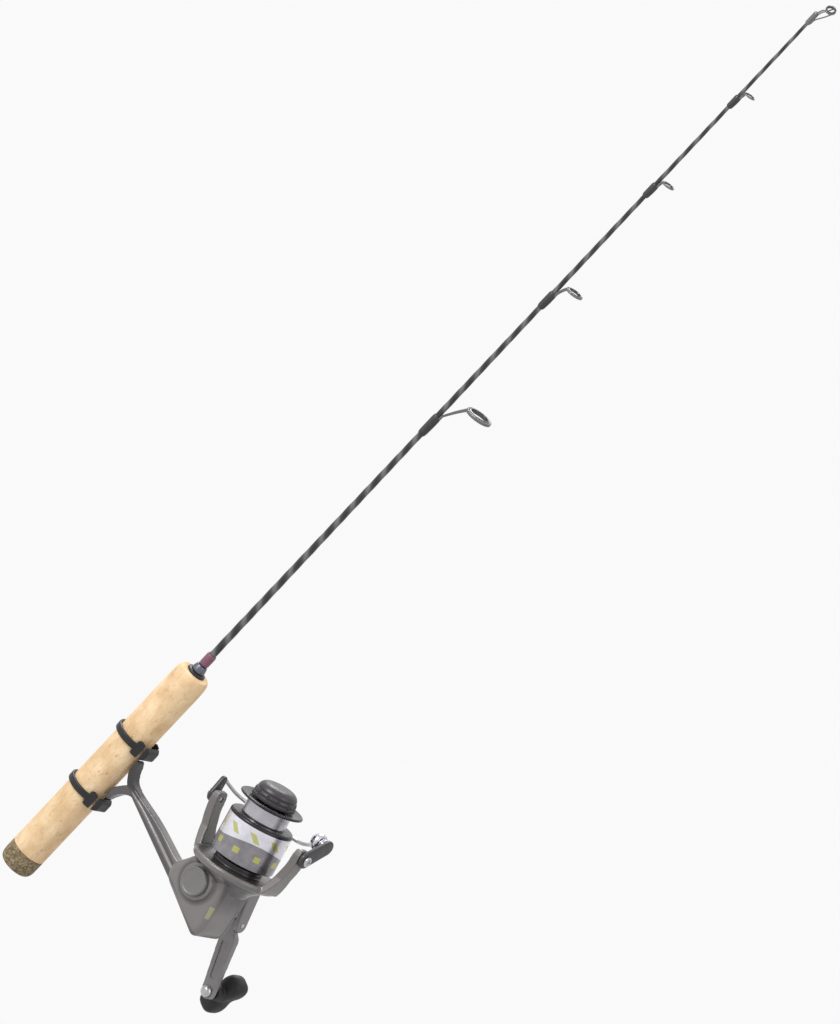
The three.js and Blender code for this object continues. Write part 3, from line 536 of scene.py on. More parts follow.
def link(first, second):
    """The outline round two circles, each (x, y, radius)."""
    steps = 16
    (ax, ay, ar), (bx, by, br) = first, second
    heading = math.atan2(by - ay, bx - ax)
    spread = math.acos((ar - br) / math.hypot(bx - ax, by - ay))
    points = []
    for k in range(steps + 1):
        angle = heading - spread + 2 * spread * k / steps
        points.append((bx + br * math.cos(angle), by + br * math.sin(angle)))
    for k in range(steps + 1):
        angle = heading + spread + (TAU - 2 * spread) * k / steps
        points.append((ax + ar * math.cos(angle), ay + ar * math.sin(angle)))
    return points


def smooth_path(points, steps):
    """A Catmull-Rom line through the points."""
    pts = [Vector(p) for p in points]
    pts = [pts[0] * 2 - pts[1]] + pts + [pts[-1] * 2 - pts[-2]]
    out = []
    for i in range(1, len(pts) - 2):
        a, b, c, d = pts[i - 1:i + 3]
        for k in range(steps):
            t = k / steps
            out.append(0.5 * (2 * b + (c - a) * t + (2 * a - 5 * b + 4 * c - d) * t * t
                              + (3 * b - a - 3 * c + d) * t ** 3))
    out.append(pts[-2])
    return out


def skinned(bm, rings):
    """Quads between neighbouring rings of points and a cap on each end."""
    for low, high in zip(rings, rings[1:]):
        for k in range(len(low)):
            after = (k + 1) % len(low)
            bm.faces.new([low[k], low[after], high[after], high[k]])
    bm.faces.new(rings[0])
    bm.faces.new(list(reversed(rings[-1])))
    bmesh.ops.recalc_face_normals(bm, faces=bm.faces)
    return bm


def wire(points, radius, steps, sides, wide_axis=(0, 1, 0)):
    """A round bar along a smooth line, with closed ends; its points start from wide_axis.

    radius is one number, or two for a bar that tapers evenly."""
    line = smooth_path(points, steps)
    first, last = radius if isinstance(radius, tuple) else (radius, radius)
    bm = bmesh.new()
    rings = []
    wide = Vector(wide_axis)
    for i, here in enumerate(line):
        tangent = (line[min(i + 1, len(line) - 1)] - line[max(i - 1, 0)]).normalized()
        side = (wide - tangent * wide.dot(tangent)).normalized()
        up = tangent.cross(side)
        size = first + (last - first) * i / (len(line) - 1)
        rings.append([
            bm.verts.new(here + side * math.cos(angle) * size + up * math.sin(angle) * size)
            for angle in (TAU * k / sides for k in range(sides))
        ])
    return skinned(bm, rings)


def merged(*parts):
    """Several meshes in one, still overlapping."""
    whole = bmesh.new()
    for part in parts:
        mesh = bpy.data.meshes.new("part")
        part.to_mesh(mesh)
        part.free()
        whole.from_mesh(mesh)
        bpy.data.meshes.remove(mesh)
    return whole


def as_object(bm, name="work"):
    mesh = bpy.data.meshes.new(name)
    bm.to_mesh(mesh)
    bm.free()
    piece = bpy.data.objects.new(name, mesh)
    bpy.context.scene.collection.objects.link(piece)
    return piece


def baked(piece):
    """The object's mesh with its modifiers applied, as a bmesh; the object goes."""
    shape = piece.evaluated_get(bpy.context.evaluated_depsgraph_get())
    bm = bmesh.new()
    bm.from_mesh(shape.to_mesh())
    shape.to_mesh_clear()
    mesh = piece.data
    bpy.data.objects.remove(piece)
    bpy.data.meshes.remove(mesh)
    return bm


def combined(bm, tools, operation):
    piece = as_object(bm)
    cutters = [as_object(tool, "tool") for tool in tools]
    for cutter in cutters:
        step = piece.modifiers.new("boolean", "BOOLEAN")
        step.operation = operation
        step.solver = "EXACT"
        step.object = cutter
    out = baked(piece)
    for cutter in cutters:
        mesh = cutter.data
        bpy.data.objects.remove(cutter)
        bpy.data.meshes.remove(mesh)
    return out


def carved(bm, *tools):
    """The mesh with the tools cut away."""
    return combined(bm, tools, "DIFFERENCE")


def intersected(bm, tool):
    """What the two meshes share."""
    return combined(bm, [tool], "INTERSECT")


def cast(bm, voxel, rounds):
    """Overlapping solids melted into one smooth casting with rounded edges."""
    piece = as_object(bm)
    step = piece.modifiers.new("melt", "REMESH")
    step.mode = "VOXEL"
    step.voxel_size = voxel
    step = piece.modifiers.new("ease", "SMOOTH")
    step.factor = 0.5
    step.iterations = rounds
    return baked(piece)


BODY_OF = {node: body for body, nodes in frame["record"]["behaviour"]["bodies"].items() for node in nodes}
SLOT_OF = {part["node"]: part["material_slot"] for part in frame["record"]["subparts"]}


def fine(bm, node, matrix=ROD, look=None, sharp=32):
    """Puts a finished mesh into the row frame as the piece that stands for a CAD node."""
    body, slot = BODY_OF[node], SLOT_OF[node]
    bm.transform(Matrix.Scale(MM, 4) @ matrix)
    mesh = bpy.data.meshes.new(node + "_fine")
    bmesh.ops.recalc_face_normals(bm, faces=bm.faces)
    bm.to_mesh(mesh)
    bm.free()
    mesh.shade_smooth()
    if sharp:
        mesh.set_sharp_from_angle(angle=math.radians(sharp))
    piece = bpy.data.objects.new(node + "_fine", mesh)
    bpy.context.scene.collection.objects.link(piece)
    mesh.materials.append(look or LOOKS[slot])
    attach(piece, body)
    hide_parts(node)
    return piece


# ---- handle and blank ----
def make_handle():
    bore = 2.75
    fine(turned([
        (0.05, 0), (0.05, 7.4), (0.9, 9.4),
        (2.6, 10.45), (5, 10.9), (CAP_LENGTH - 0.15, CORK_RADIUS + 0.02),
        (CAP_LENGTH - 0.15, bore), (5, bore), (5, 0),
    ], segments=128, reach=[0, 1.2, 1, 1.2, 2, 0.25, 0, 0, 0]), "butt_cap")
    fine(turned([
        (CAP_LENGTH, bore), (CAP_LENGTH, CORK_RADIUS), (151, CORK_RADIUS), (157, CORK_RADIUS - 0.3),
        (CORK_END, CORK_RADIUS - 1.5), (CORK_END, bore),
    ], segments=160, reach=[0, 0.3, 3, 2, 1.0, 0], closed=True), "cork_grip")
    fine(turned([
        (160.1, 2.4), (160.1, 6), (161.4, 5.9), (161.9, 4.5), (161.9, 2.4),
    ], reach=[0, 0.5, 0.6, 0.3, 0], closed=True), "winding_check")
    fine(turned([
        (162, 2.4), (162, 4.2), (163.3, 4.2), (166.4, 3.3), (166.4, 2.4),
    ], reach=[0, 0.3, 0.8, 0.3, 0], closed=True), "trim_ring", look=TRIM_LOOK)
    fine(turned([
        (166.7, 2.35), (166.7, 2.6), (167.6, 3.02), (174, 3.02), (175, 2.6), (175, 2.35),
    ], reach=[0, 0.2, 0.6, 0.6, 0.2, 0], closed=True), "trim_band")


def make_blank():
    """The blank, with the low spiral ridge that its wrapping tape leaves."""
    sides, step, ridge = 28, 1.2, 0.07
    count = int((BLANK_END - BLANK_START) / step)
    bm = bmesh.new()
    rings = []
    for i in range(count + 1):
        x = BLANK_START + (BLANK_END - BLANK_START) * i / count
        ring = []
        for k in range(sides):
            angle = TAU * k / sides
            wave = math.cos(angle + TAU * x / TAPE_PITCH)
            radius = blank_radius(x) + ridge * (wave - 0.6) * min(1, blank_radius(x) / 2)
            ring.append(bm.verts.new((x, radius * math.cos(angle), radius * math.sin(angle))))
        rings.append(ring)
    fine(skinned(bm, rings), "rod_blank", sharp=60)


# ---- guides ----
def guide_matrix(ring):
    return Matrix.Translation((ring[0], 0, ring[1])) @ Matrix.Rotation(-GUIDE_LEAN, 4, "Y")


def make_guide(number, leg, ring, size, foot):
    under = -blank_radius(leg) - 0.12
    outer = size / 2
    band = size * 0.085
    half = size * 0.06
    matrix = guide_matrix(ring)
    frame_ring = turned([
        (-half, outer - band), (-half, outer), (half, outer), (half, outer - band),
    ], segments=96, reach=min(0.45, half * 0.8), closed=True)
    frame_ring.transform(matrix)
    rim = matrix @ Vector((0, 0, outer - band * 0.5))
    slope = Vector((rim.x - leg, 0, rim.z - under))
    thick = 0.42
    parts = [frame_ring]
    for side in (-1, 1):
        spread = outer * 0.34
        rise = math.sqrt(max(0.1, (outer - band * 0.6) ** 2 - spread ** 2))
        end = matrix @ Vector((0, side * spread, rise))
        parts.append(wire([
            (leg - foot * 0.45, side * 0.42, under - 0.4), (leg - 1.2, side * 0.5, under - 0.42),
            (leg + 0.9, side * 0.6, under - 0.75),
            Vector((leg, side * (0.6 + spread * 0.35), under)) + slope * 0.55, end,
        ], 0.55 if size > 9 else 0.45, steps=8, sides=12))
    parts.append(prism(soft([
        (leg - foot, -0.55), (leg - 1, -1.0), (leg + 1, -1.0),
        (leg + 1, 1.0), (leg - 1, 1.0), (leg - foot, 0.55),
    ], 0.4), "z", under - thick - 0.25, under, 0.15))
    voxel = 0.14 if size > 9 else 0.11
    fine(cast(merged(*parts), voxel, 3), f"guide_{number}_frame", look=GUIDE_LOOK, sharp=None)

    insert_outer = outer - band - 0.08
    insert_inner = insert_outer - size * 0.075
    lip = half * 1.4
    insert = turned([
        (-lip, insert_inner + 0.3), (-lip * 0.9, insert_outer - 0.1),
        (-half, insert_outer), (half, insert_outer),
        (lip * 0.9, insert_outer - 0.1), (lip, insert_inner + 0.3), (0, insert_inner),
    ], segments=96, reach=0.3, closed=True)
    fine(insert, f"guide_{number}_insert", matrix)
    make_wrap(number, leg, foot, under)


def make_wrap(number, leg, foot, under):
    """Thread turns and epoxy round the blank and the guide's foot, faired down at both ends."""
    sides, stations = 40, 40
    start, end = leg - foot - 1.4, leg - 1.35
    bm = bmesh.new()
    rings = []
    for i in range(stations + 1):
        t = i / stations
        x = start + (end - start) * t
        fair = min(1.0, math.sqrt(max(0.0, math.sin(math.pi * min(1, max(0, t)))) ) * 1.5)
        base = blank_radius(x) + 0.12 + 0.5 * fair
        bulge = (-under + 0.75 + 0.42 * fair - base) * min(1.0, 0.25 + 1.4 * t)
        ring = []
        for k in range(sides):
            angle = TAU * k / sides
            near = math.exp(-((math.degrees((angle + math.pi / 2 + math.pi) % TAU - math.pi) / 42) ** 2))
            radius = base + max(0, bulge) * near
            ring.append(bm.verts.new((x, radius * math.cos(angle), radius * math.sin(angle))))
        rings.append(ring)
    fine(skinned(bm, rings), f"guide_{number}_wrap", sharp=50)


def make_tip_top():
    outer, turn = TIP["outer"], TIP["turn"]
    matrix = Matrix.Translation((TIP["x"], 0, TIP["z"])) @ Matrix.Rotation(turn, 4, "Z")
    rim = turned([(-0.7, outer - 0.65), (-0.7, outer), (0.7, outer), (0.7, outer - 0.65)],
                 segments=72, reach=0.3, closed=True)
    rim.transform(matrix)
    parts = [turned([(692.6, 0), (692.6, 1.58), (700.6, 1.58), (701.5, 1.1), (701.5, 0)], segments=48), rim]
    for side in (-1, 1):
        end = matrix @ Vector((0, side * (outer - 0.35), 0))
        parts.append(wire([
            (699.6, side * 0.8, -0.6), (703, side * 1.4, -1.3), (706, (side * 2 + end.y) / 2, -3), end,
        ], 0.42, 8, 12))
    low = matrix @ Vector((0, 0, -(outer - 0.35)))
    parts.append(wire([(694, 0, -1.65), (697.5, 0, -2.1), (703, 0, -5.2), low], 0.4, 8, 12))
    fine(cast(merged(*parts), 0.11, 3), "tip_top_frame", look=GUIDE_LOOK, sharp=None)
    fine(turned([
        (-0.95, outer - 1.1), (-0.85, outer - 0.8), (-0.5, outer - 0.72), (0.5, outer - 0.72),
        (0.85, outer - 0.8), (0.95, outer - 1.1), (0, outer - 1.3),
    ], segments=72, reach=0.25, closed=True), "tip_top_insert", matrix)


# ---- sliding clamp rings ----
def make_clamp_ring(node, x):
    bore = CORK_RADIUS + 0.22
    band = turned([
        (-2.1, bore), (-2.1, bore + 1.7), (2.1, bore + 1.7), (2.1, bore),
    ], segments=120, reach=0.6, closed=True)
    hood = prism(soft([(-4.9, -8), (-4.9, -12.8), (-3.2, -16.3), (3.2, -16.3), (4.9, -12.8), (4.9, -8)], 1.4),
                 "y", -9.2, 9.2)
    trim = []
    for side in (-1, 1):
        trim.append(prism([
            (side * 9.9, -7.2), (side * 4.4, -17.4), (side * 14, -17.4), (side * 14, -7.2),
        ], "x", -8, 8))
    slot = block((-7, -13.65), (7, -4), "x", -9, 9)
    hole = cylinder(-9, 9, bore, segments=120)
    hood = carved(hood, *trim)
    solid = carved(cast(merged(band, hood), 0.3, 4), slot, hole)
    fine(solid, node, Matrix.Translation((x, 0, 0)), sharp=40)


# ---- reel body ----
NECK = [(2, 0), (2, 12), (6.5, 15.2), (10.2, 20), (12.6, 21.5), (12.6, 0)]


def make_reel_body():
    foot = carved(prism(soft([
        (58, -12.1), (68, -13.2), (104, -13.2), (114, -12.1), (114, -8.9), (58, -8.9),
    ], [0.5, 5, 5, 0.5, 0.2, 0.2]), "y", -6.5, 6.5, 0.5),
        cylinder(50, 120, 11.15, segments=120))
    front_branch = prism(soft([
        (101.2, -12.6), (92.4, -12.6), (86.6, -17.6), (84.9, -23),
        (84.6, -30), (89, -30), (89.9, -21), (94.6, -16.8),
        (100.8, -14.7),
    ], [0.5, 2, 2, 2, 1, 1, 3, 3, 1]), "y", -3.3, 3.3, 1.0)
    rear_branch = prism(soft([
        (71, -12.6), (79, -12.6), (86.5, -18.2), (87, -28),
        (84.4, -28), (83.3, -22.6), (77.5, -17.2), (71.3, -15.3),
    ], [0.5, 2, 2, 1, 1, 3, 3, 1]), "y", -3.3, 3.3, 1.0)
    stem = prism(soft([
        (89.2, -24), (84.5, -24), (70.6, -87), (66.2, -106), (65.6, -114),
        (69, -117), (86, -95), (83.6, -76), (88.1, -49),
    ], [1, 1, 8, 5, 2, 2, 3, 6, 8]), "y", -3.7, 3.7, 1.3, 4)
    ribs = [wire([
        (86.2, side * 3.5, -24), (84.9, side * 3.5, -38),
        (80.9, side * 3.6, -60), (75.6, side * 3.6, -84),
    ], (0.7, 1.1), 8, 12) for side in (-1, 1)]
    housing = carved(prism(soft(HOUSING, 4.5, steps=8), "y", -14.9, 30, 4.2, 6),
                     block((-50, -50), (50, 60), "y", COVER_Y, 40))
    neck = turned(NECK, segments=120, reach=[0, 0.5, 2, 2, 0.4, 0])
    boss = turned([
        (-17, 0), (-17, 10.2), (-16.2, 11), (-12, 11.8), (-12, 0),
    ], "y", 96, centre=(0, 0, DRIVE_Z))
    collar = cylinder(11, 17.3, 9.5, segments=96)
    reel_side = merged(housing, neck, boss, collar)
    reel_side.transform(REEL)
    whole = cast(merged(foot, front_branch, rear_branch, stem, *ribs, reel_side), 0.4, 7)
    tools = [
        block((-45, -35), (1.7, 45), "y", COVER_Y, 40),
        prism(soft(CAVITY, 2.5), "y", -12.5, 21),
        cylinder(-2, 14, 6.15, segments=96),
        cylinder(12.8, 30, 8.2, segments=96),
        cylinder(-20, 20, 6.15, "y", 96, centre=(0, 0, DRIVE_Z)),
    ]
    for tool in tools:
        tool.transform(REEL)
    fine(carved(whole, *tools), "reel_body", look=BODY_LOOK, sharp=45)


def make_side_cover():
    lid = prism(soft(HOUSING, 4.5, steps=8), "y", COVER_Y + 0.3, COVER_FACE, 1.8, 5)
    rim = turned([(10, 0), (10, 11.7), (13.2, 11), (14, 10.2), (14, 0)], "y", 96, centre=(0, 0, DRIVE_Z))
    gap = 0.3
    neck_tool = turned([
        (along - gap if along < 3 else along + gap * (along > 12), radius + gap * (radius > 0))
        for along, radius in NECK
    ], segments=120)
    bore = cylinder(0, 20, 6.15, "y", 64, centre=(0, 0, DRIVE_Z))
    below = block((-45, -40), (40, 45), "y", 0, COVER_Y + 0.3)
    sinks = [
        turned([(11.3, 0), (11.3, 2.3), (20, 2.6), (20, 0)], "y", 48, centre=(x, 0, z))
        for x, z in COVER_BOSSES
    ]
    solid = cast(merged(lid, rim), 0.35, 4)
    fine(carved(solid, neck_tool, bore, below, *sinks), "side_cover", REEL, sharp=40)
    for i, (x, z) in enumerate(COVER_BOSSES):
        head = turned([(4.6, 0), (4.6, 1), (11.5, 1), (11.5, 2), (12.4, 2), (12.9, 1.3), (13, 0)], "y", 48,
                      reach=[0, 0, 0, 0.1, 0.4, 0.5, 0], centre=(x, 0, z))
        bars = [block((x - a, z - b), (x + a, z + b), "y", 12.2, 14)
                for a, b in ((1.3, 0.24), (0.24, 1.3))]
        fine(carved(head, *bars), f"cover_screw_{i + 1}", REEL)
    cap = turned([
        (-16.5, 0), (-16.5, 5.2), (-17.25, 5.2), (-17.25, 8.7),
        (-19, 8.7), (-20, 7.9), (-19.55, 7.0), (-19.55, 0),
    ], "y", 120, reach=[0, 0, 0, 0.3, 0.7, 0.4, 0.4, 0], centre=(0, 0, DRIVE_Z))
    fine(cap, "screw_cap", REEL)


# ---- rotor and bail ----
def make_rotor():
    base = turned([
        (13.3, 10.3), (13.3, 22.6), (12, 22.6), (12, 24.8), (13.6, 27), (16, 27), (16.8, 26), (16.8, 15),
        (20.5, 15), (20.5, 3.05), (18.1, 3.05), (18.1, 10.3),
    ], segments=140, reach=[0, 0.3, 0.4, 1.2, 1.2, 0.8, 0.8, 0.3, 0.6, 0, 0, 0], closed=True)
    parts = [base]
    for side in (1, -1):
        arm = carved(prism(soft([
            (12.9, 23.5), (17.3, 24), (20.8, 25.6), (35.5, 29.6), (47.5, 31), (47.5, 34.4), (45.5, 35.4),
            (37, 35.3), (26, 32.3), (18, 29.4), (13.4, 26.7),
        ], [0.3, 1, 2, 3, 1.2, 1.2, 2, 5, 5, 4, 1]), "y", -12, 12),
            *[prism([
                (47.9, y * 2.2), (46.6, y * 4.2), (43.5, y * 5), (37.5, y * 4.6), (27, y * 4.8),
                (20, y * 6.8), (12, y * 9.2), (12, y * 16), (60, y * 16), (60, y * 2.2),
            ], "z", 20, 40) for y in (-1, 1)])
        if side < 0:
            arm.transform(HALF_TURN)
        parts.append(arm)
    body = cast(merged(*parts), 0.36, 6)
    holes = []
    for side in (1, -1):
        hole = cylinder(28, 42, 1.6, "z", 40, centre=(BAIL_X, 0, 0))
        if side < 0:
            hole.transform(HALF_TURN)
        holes.append(hole)
        panel = prism(soft([
            (21, -2.7), (35, -2.2), (36.5, 0), (35, 2.2), (21, 2.7), (19.6, 0),
        ], 1.2), "z", 29.2, 37)
        tilt = Matrix.Translation((28.5, 0, 33.3)) @ Matrix.Rotation(math.radians(-14.5), 4, "Y")
        panel.transform(tilt @ Matrix.Translation((-28.5, 0, -29.2)))
        if side < 0:
            panel.transform(HALF_TURN)
        holes.append(panel)
    fine(carved(body, *holes), "rotor", REEL, sharp=40)


def make_bail():
    lever_in = BAIL_FACE + 0.3
    lever_out = lever_in + 2.6
    holder = prism(link((BAIL_X, 0, 4.4), (BAIL_X + 9.5, 2, 2.5)), "z", lever_in, lever_out, 0.7)
    bore = cylinder(30, 45, 1.8, "z", 40, centre=(BAIL_X, 0, 0))
    fine(carved(holder, bore), "bail_holder", REEL)
    arm = prism(link((BAIL_X, 0, 5), (ROLLER_X, ROLLER_Y, 4.6)), "z", -lever_out, -lever_in, 0.8)
    low_bore = cylinder(-45, -30, 1.8, "z", 40, centre=(BAIL_X, 0, 0))
    axle = cylinder(-36.3, -32.7, 1.4, "z", 32, centre=(ROLLER_X, ROLLER_Y, 0))
    fine(merged(carved(arm, low_bore), axle), "bail_arm", REEL)
    for node, side in (("bail_screw_upper", 1), ("bail_screw_lower", -1)):
        screw = turned([
            (31, 0), (31, 1.5), (lever_out + 0.3, 1.5), (lever_out + 0.3, 3.1), (lever_out + 0.9, 3.1),
            (lever_out + 1.5, 2.3), (lever_out + 1.5, 0),
        ], "z", 48, reach=[0, 0.1, 0, 0.2, 0.4, 0.5, 0])
        bars = [block((-a, -b), (a, b), "z", lever_out + 0.9, lever_out + 3)
                for a, b in ((1.6, 0.28), (0.28, 1.6))]
        screw = carved(screw, *bars)
        if side < 0:
            screw.transform(HALF_TURN)
        screw.transform(Matrix.Translation((BAIL_X, 0, 0)))
        fine(screw, node, REEL)
    fine(turned([
        (-35.3, 1.6), (-35.3, 3.85), (-34.7, 3.85), (-34, 3.0),
        (-33.5, 3.85), (-32.9, 3.85), (-32.9, 1.6),
    ], "z", 72, reach=[0, 0.3, 0.4, 0.5, 0.4, 0.3, 0], centre=(ROLLER_X, ROLLER_Y, 0), closed=True),
        "line_roller", REEL)
    bulb = turned([
        (-32.6, 0), (-32.6, 5), (-31, 5.6), (-29, 5.2), (-27.2, 4), (-26, 2.2), (-25.6, 0),
    ], "z", 72, reach=[0, 0.4, 1.2, 1.4, 1.4, 1, 0], centre=(ROLLER_X, ROLLER_Y, 0))
    fine(bulb, "roller_cap", REEL)
    hoop = wire([
        (ROLLER_X - 3.1, 20.4, -27), (46.2, 29.2, -20.4), (41.2, 35.2, -9),
        (40, 36.4, 0), (40.4, 35.2, 10.5),
        (42.4, 30.2, 21.6), (46.4, 17.5, 32.4), (50.5, 8.6, 36.1), (52.1, 5.9, 36.9),
    ], 1.15, 12, 20, wide_axis=(1, 0.1, 0.05))
    fine(hoop, "bail_wire", REEL)


# ---- spool and drag ----
def make_spool():
    bore = 2.1
    fine(turned([
        (SKIRT_REAR, SKIRT_INNER), (SKIRT_REAR, SKIRT_RADIUS), (SKIRT_FRONT, SKIRT_RADIUS),
        (SKIRT_FRONT + 0.9, SKIRT_RADIUS - 0.9), (SKIRT_FRONT + 0.9, 13.65), (LIP_X - 0.9, 13.65),
        (LIP_X, SKIRT_RADIUS - 0.7), (LIP_X + 0.5, SKIRT_RADIUS), (LIP_X + 1.2, SKIRT_RADIUS),
        (LIP_X + 1.7, 18.9), (LIP_X + 1.1, 14.2), (LIP_X + 1.1, 11.2), (50.5, 11.2), (50.5, bore),
        (30, bore), (30, 6.5), (43.8, 6.5), (43.8, SKIRT_INNER),
    ], segments=160, closed=True, reach=[
        0.2, 0.5, 0.4, 0.4, 0.5, 0.5, 0.5, 0.3, 0.4, 0.4, 0.5, 0.3, 0, 0, 0, 0, 0, 0,
    ]), "spool", REEL, look=SPOOL_LOOK, sharp=34)
    profile = [
        (55.9, 0), (55.9, 9), (59.5, 9), (59.5, 13.7),
        (61.6, 13.7), (61.9, 12.8), (62.4, 12.8), (62.7, 13.3),
        (64.4, 12.8), (64.7, 11.9), (65.2, 11.9), (65.5, 12.3),
        (67.3, 11.4), (68.8, 9.6), (69.4, 7), (69.4, 0),
    ]
    knob = turned(profile, segments=120, reach=[
        0, 0, 0, 0.4, 0.4, 0.15, 0.15, 0.3, 0.4, 0.15, 0.15, 0.3, 0.8, 1.2, 1, 0,
    ])
    notches = []
    for k in range(12):
        angle = TAU * (k + 0.5) / 12
        groove = cylinder(61.5, 75, 1.1, segments=24,
                        centre=(0, 13.5 * math.cos(angle), 13.5 * math.sin(angle)))
        notches.append(groove)
    fine(carved(knob, *notches), "drag_knob", REEL, sharp=36)


# ---- crank ----
def make_crank():
    y, pivot, length, end_y = CRANK_Y, CRANK_PIVOT, CRANK_LENGTH, CRANK_END_Y
    stem = turned([
        (-14, 0), (-14, 2.4), (14.6, 2.4), (14.6, 6.2), (16, 6.4),
        (24, 5), (y - 5, 4.8), (y + 1, 4.8), (y + 1, 0),
    ], "y", 64, reach=[0, 0, 0, 0.5, 0.8, 2, 1, 0, 0])
    knuckle = prism(link((0, y, 5.6), (-pivot, y, 4.9)), "z", -5.6, 5.6, 1.1, 4)
    slot = block((-pivot - 8, y - 7), (-pivot + 5.5, y + 9), "z", -3, 3)
    pin_bore = cylinder(-9, 9, 1.5, "z", 32, centre=(-pivot, y, 0))
    fine(carved(cast(merged(stem, knuckle), 0.35, 4), slot, pin_bore), "handle_shank", CRANK, sharp=40)
    fine(cylinder(-5.9, 5.9, 1.35, "z", 32, reach=[0, 0.3, 0.3, 0],
                centre=(-pivot, y, 0)), "fold_pin", CRANK)

    side = soft([
        (-pivot + 2.4, y - 2.5), (-pivot + 2.6, y + 2.5),
        (-pivot - 8, y + 3.2), (-length - 4.6, end_y + 2.5),
        (-length - 4.6, end_y - 1.9), (-pivot - 8, y - 1.7),
    ], [2, 2, 6, 1.2, 1.2, 6])
    arm = prism(side, "z", -8, 8)
    keep = soft([
        (-pivot + 3, -2.6), (-pivot - 5.6, -2.6), (-pivot - 8.5, -5.6),
        (-length, -4.1), (-length - 3.6, -3.2),
        (-length - 4.6, 0), (-length - 3.6, 3.2), (-length, 4.1),
        (-pivot - 8.5, 5.6), (-pivot - 5.6, 2.6),
        (-pivot + 3, 2.6),
    ], [0.8, 2, 3, 2, 2, 2, 2, 2, 3, 2, 0.8])
    arm = intersected(arm, prism(keep, "y", y - 9, end_y + 9))
    arm = cast(arm, 0.32, 5)
    panel = prism(soft([
        (-length + 8, -1.7), (-length + 8, 1.7), (-pivot - 12, 2.4), (-pivot - 12, -2.4),
    ], 1.2), "y", y - 12, y - 1.6)
    lean = math.atan2(end_y - y, length - pivot)
    panel.transform(Matrix.Translation((-pivot, y, 0)) @ Matrix.Rotation(-lean, 4, "Z")
                    @ Matrix.Translation((pivot, -y, 0)))
    bores = [
        cylinder(-9, 9, 1.6, "z", 32, centre=(-pivot, y, 0)),
        cylinder(end_y - 9, end_y + 9, 2.1, "y", 40, centre=(-length, 0, 0)),
    ]
    fine(carved(arm, panel, *bores), "crank_arm", CRANK, sharp=40)
    fine(turned([
        (36.6, 0), (36.9, 1.8), (37.8, 3), (38.5, 3.4), (39.1, 3.4), (39.1, 1.9), (62.5, 1.9), (62.5, 0),
    ], "y", 64, reach=[0, 0.8, 0.6, 0.4, 0.1, 0, 0, 0], centre=(-length, 0, 0)), "knob_rivet", CRANK)
    make_paddle()


def make_paddle():
    """The knob: two soft lobes either side of a waist."""
    turn = Matrix.Rotation(REEL_TILT - CRANK_LEAN + KNOB_TURN, 4, "Y")
    matrix = CRANK @ Matrix.Translation((-CRANK_LENGTH, 0, 0)) @ turn
    bm = bmesh.new()
    stations, sides = 56, 48
    half_long, low, high = 14.8, 50.6, 65.4
    rings = []
    for i in range(1, stations):
        along = -math.cos(math.pi * i / stations)
        x = half_long * along
        end = (1 - abs(along) ** 5) ** 0.42
        waist = 1 - 0.22 * math.exp(-(x / 4.6) ** 2)
        half_z = 6.9 * end * waist
        half_y = (high - low) / 2 * end * (1 - 0.1 * math.exp(-(x / 5) ** 2))
        ring = []
        for k in range(sides):
            angle = TAU * k / sides
            c, s = math.cos(angle), math.sin(angle)
            power = 0.62
            yy = math.copysign(abs(c) ** power, c) * half_y
            zz = math.copysign(abs(s) ** power, s) * half_z
            ring.append(bm.verts.new((x, (low + high) / 2 + yy, zz)))
        rings.append(ring)
    collar = turned([
        (46.3, 0), (46.3, 4.2), (48, 4.7), (54, 5.6), (54, 0),
    ], "y", 64, reach=[0, 0.5, 1, 0, 0])
    knob = cast(merged(skinned(bm, rings), collar), 0.36, 6)
    hole = cylinder(40, 50, 2.15, "y", 40)
    fine(carved(knob, hole), "handle_knob", matrix, sharp=50)


def finish_inner_parts():
    """CAD nodes that stay as they are get the procedural material of their slot."""
    for name, node in frame["nodes"].items():
        if node.hide_render:
            continue
        node.data.materials.clear()
        node.data.materials.append(LOOKS[SLOT_OF[name]])
        node.data.shade_smooth()
        node.data.set_sharp_from_angle(angle=math.radians(35))


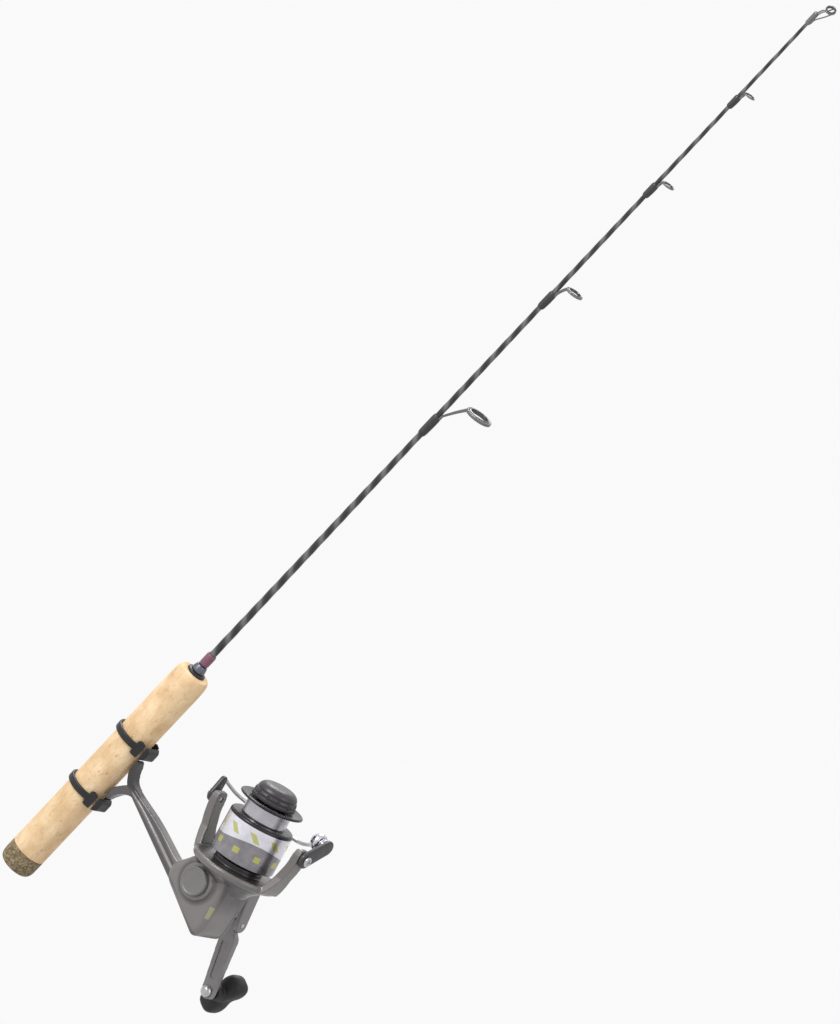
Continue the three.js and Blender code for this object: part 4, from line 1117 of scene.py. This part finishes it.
# ---- camera, light and floor ----
def make_stage():
    scene = bpy.context.scene
    middle = Vector((0.32792, 0.00063, -0.03327))
    toward = Vector((0.33, -0.841, -0.4286)).normalized()
    rod_angle = math.radians(46.7)
    across = (Vector((1, 0, 0)) - toward * toward.x).normalized()
    up_from_rod = toward.cross(across)
    right = across * math.cos(rod_angle) - up_from_rod * math.sin(rod_angle)
    up = across * math.sin(rod_angle) + up_from_rod * math.cos(rod_angle)
    distance = 20.0
    frame_height = 0.5785
    rotation = Matrix((right, up, toward)).transposed()
    data = bpy.data.cameras.new("camera")
    camera = bpy.data.objects.new("camera", data)
    scene.collection.objects.link(camera)
    data.sensor_width = 36
    data.lens = 36 * distance / frame_height
    data.clip_end = 100
    camera.matrix_world = Matrix.Translation(middle + toward * distance) @ rotation.to_4x4()
    scene.camera = camera

    bpy.ops.mesh.primitive_plane_add(size=200, location=(0, 0, -14))
    floor = bpy.context.object
    floor.name = "floor"
    s = Surface("floor", 0.8)
    s.colour(s.ramp(s.noise(400, 2), (0.3, 0.84), (0.7, 0.88)))
    floor.data.materials.append(s.material)

    world = bpy.data.worlds.new("world")
    world.use_nodes = True
    world.node_tree.nodes["Background"].inputs["Color"].default_value = (1, 1, 1, 1)
    world.node_tree.nodes["Background"].inputs["Strength"].default_value = 0.95
    scene.world = world
    lamp("key", middle + toward * 1.2 + up * 1.3 - right * 0.7, middle, 0.9, 26)
    lamp("fill", middle + toward * 1.4 + right * 1.5 - up * 0.2, middle, 1.4, 9)
    lamp("rim", middle - toward * 0.9 + up * 1.2 + right * 0.4, middle, 0.8, 14)
    scene.view_settings.view_transform = "Standard"
    scene.view_settings.look = "None"


def lamp(name, place, target, size, power):
    data = bpy.data.lights.new(name, "AREA")
    data.shape = "DISK"
    data.size = size
    data.energy = power
    light = bpy.data.objects.new(name, data)
    bpy.context.scene.collection.objects.link(light)
    light.location = place
    light.rotation_euler = (Vector(target) - Vector(place)).to_track_quat("-Z", "Y").to_euler()


make_stage()
make_handle()
make_blank()
for index, spec in enumerate(GUIDES):
    make_guide(index + 1, **spec)
make_tip_top()
make_clamp_ring("rear_ring", REAR_RING_X)
make_clamp_ring("front_ring", FRONT_RING_X)
make_reel_body()
make_side_cover()
make_rotor()
make_bail()
make_spool()
make_crank()
finish_inner_parts()
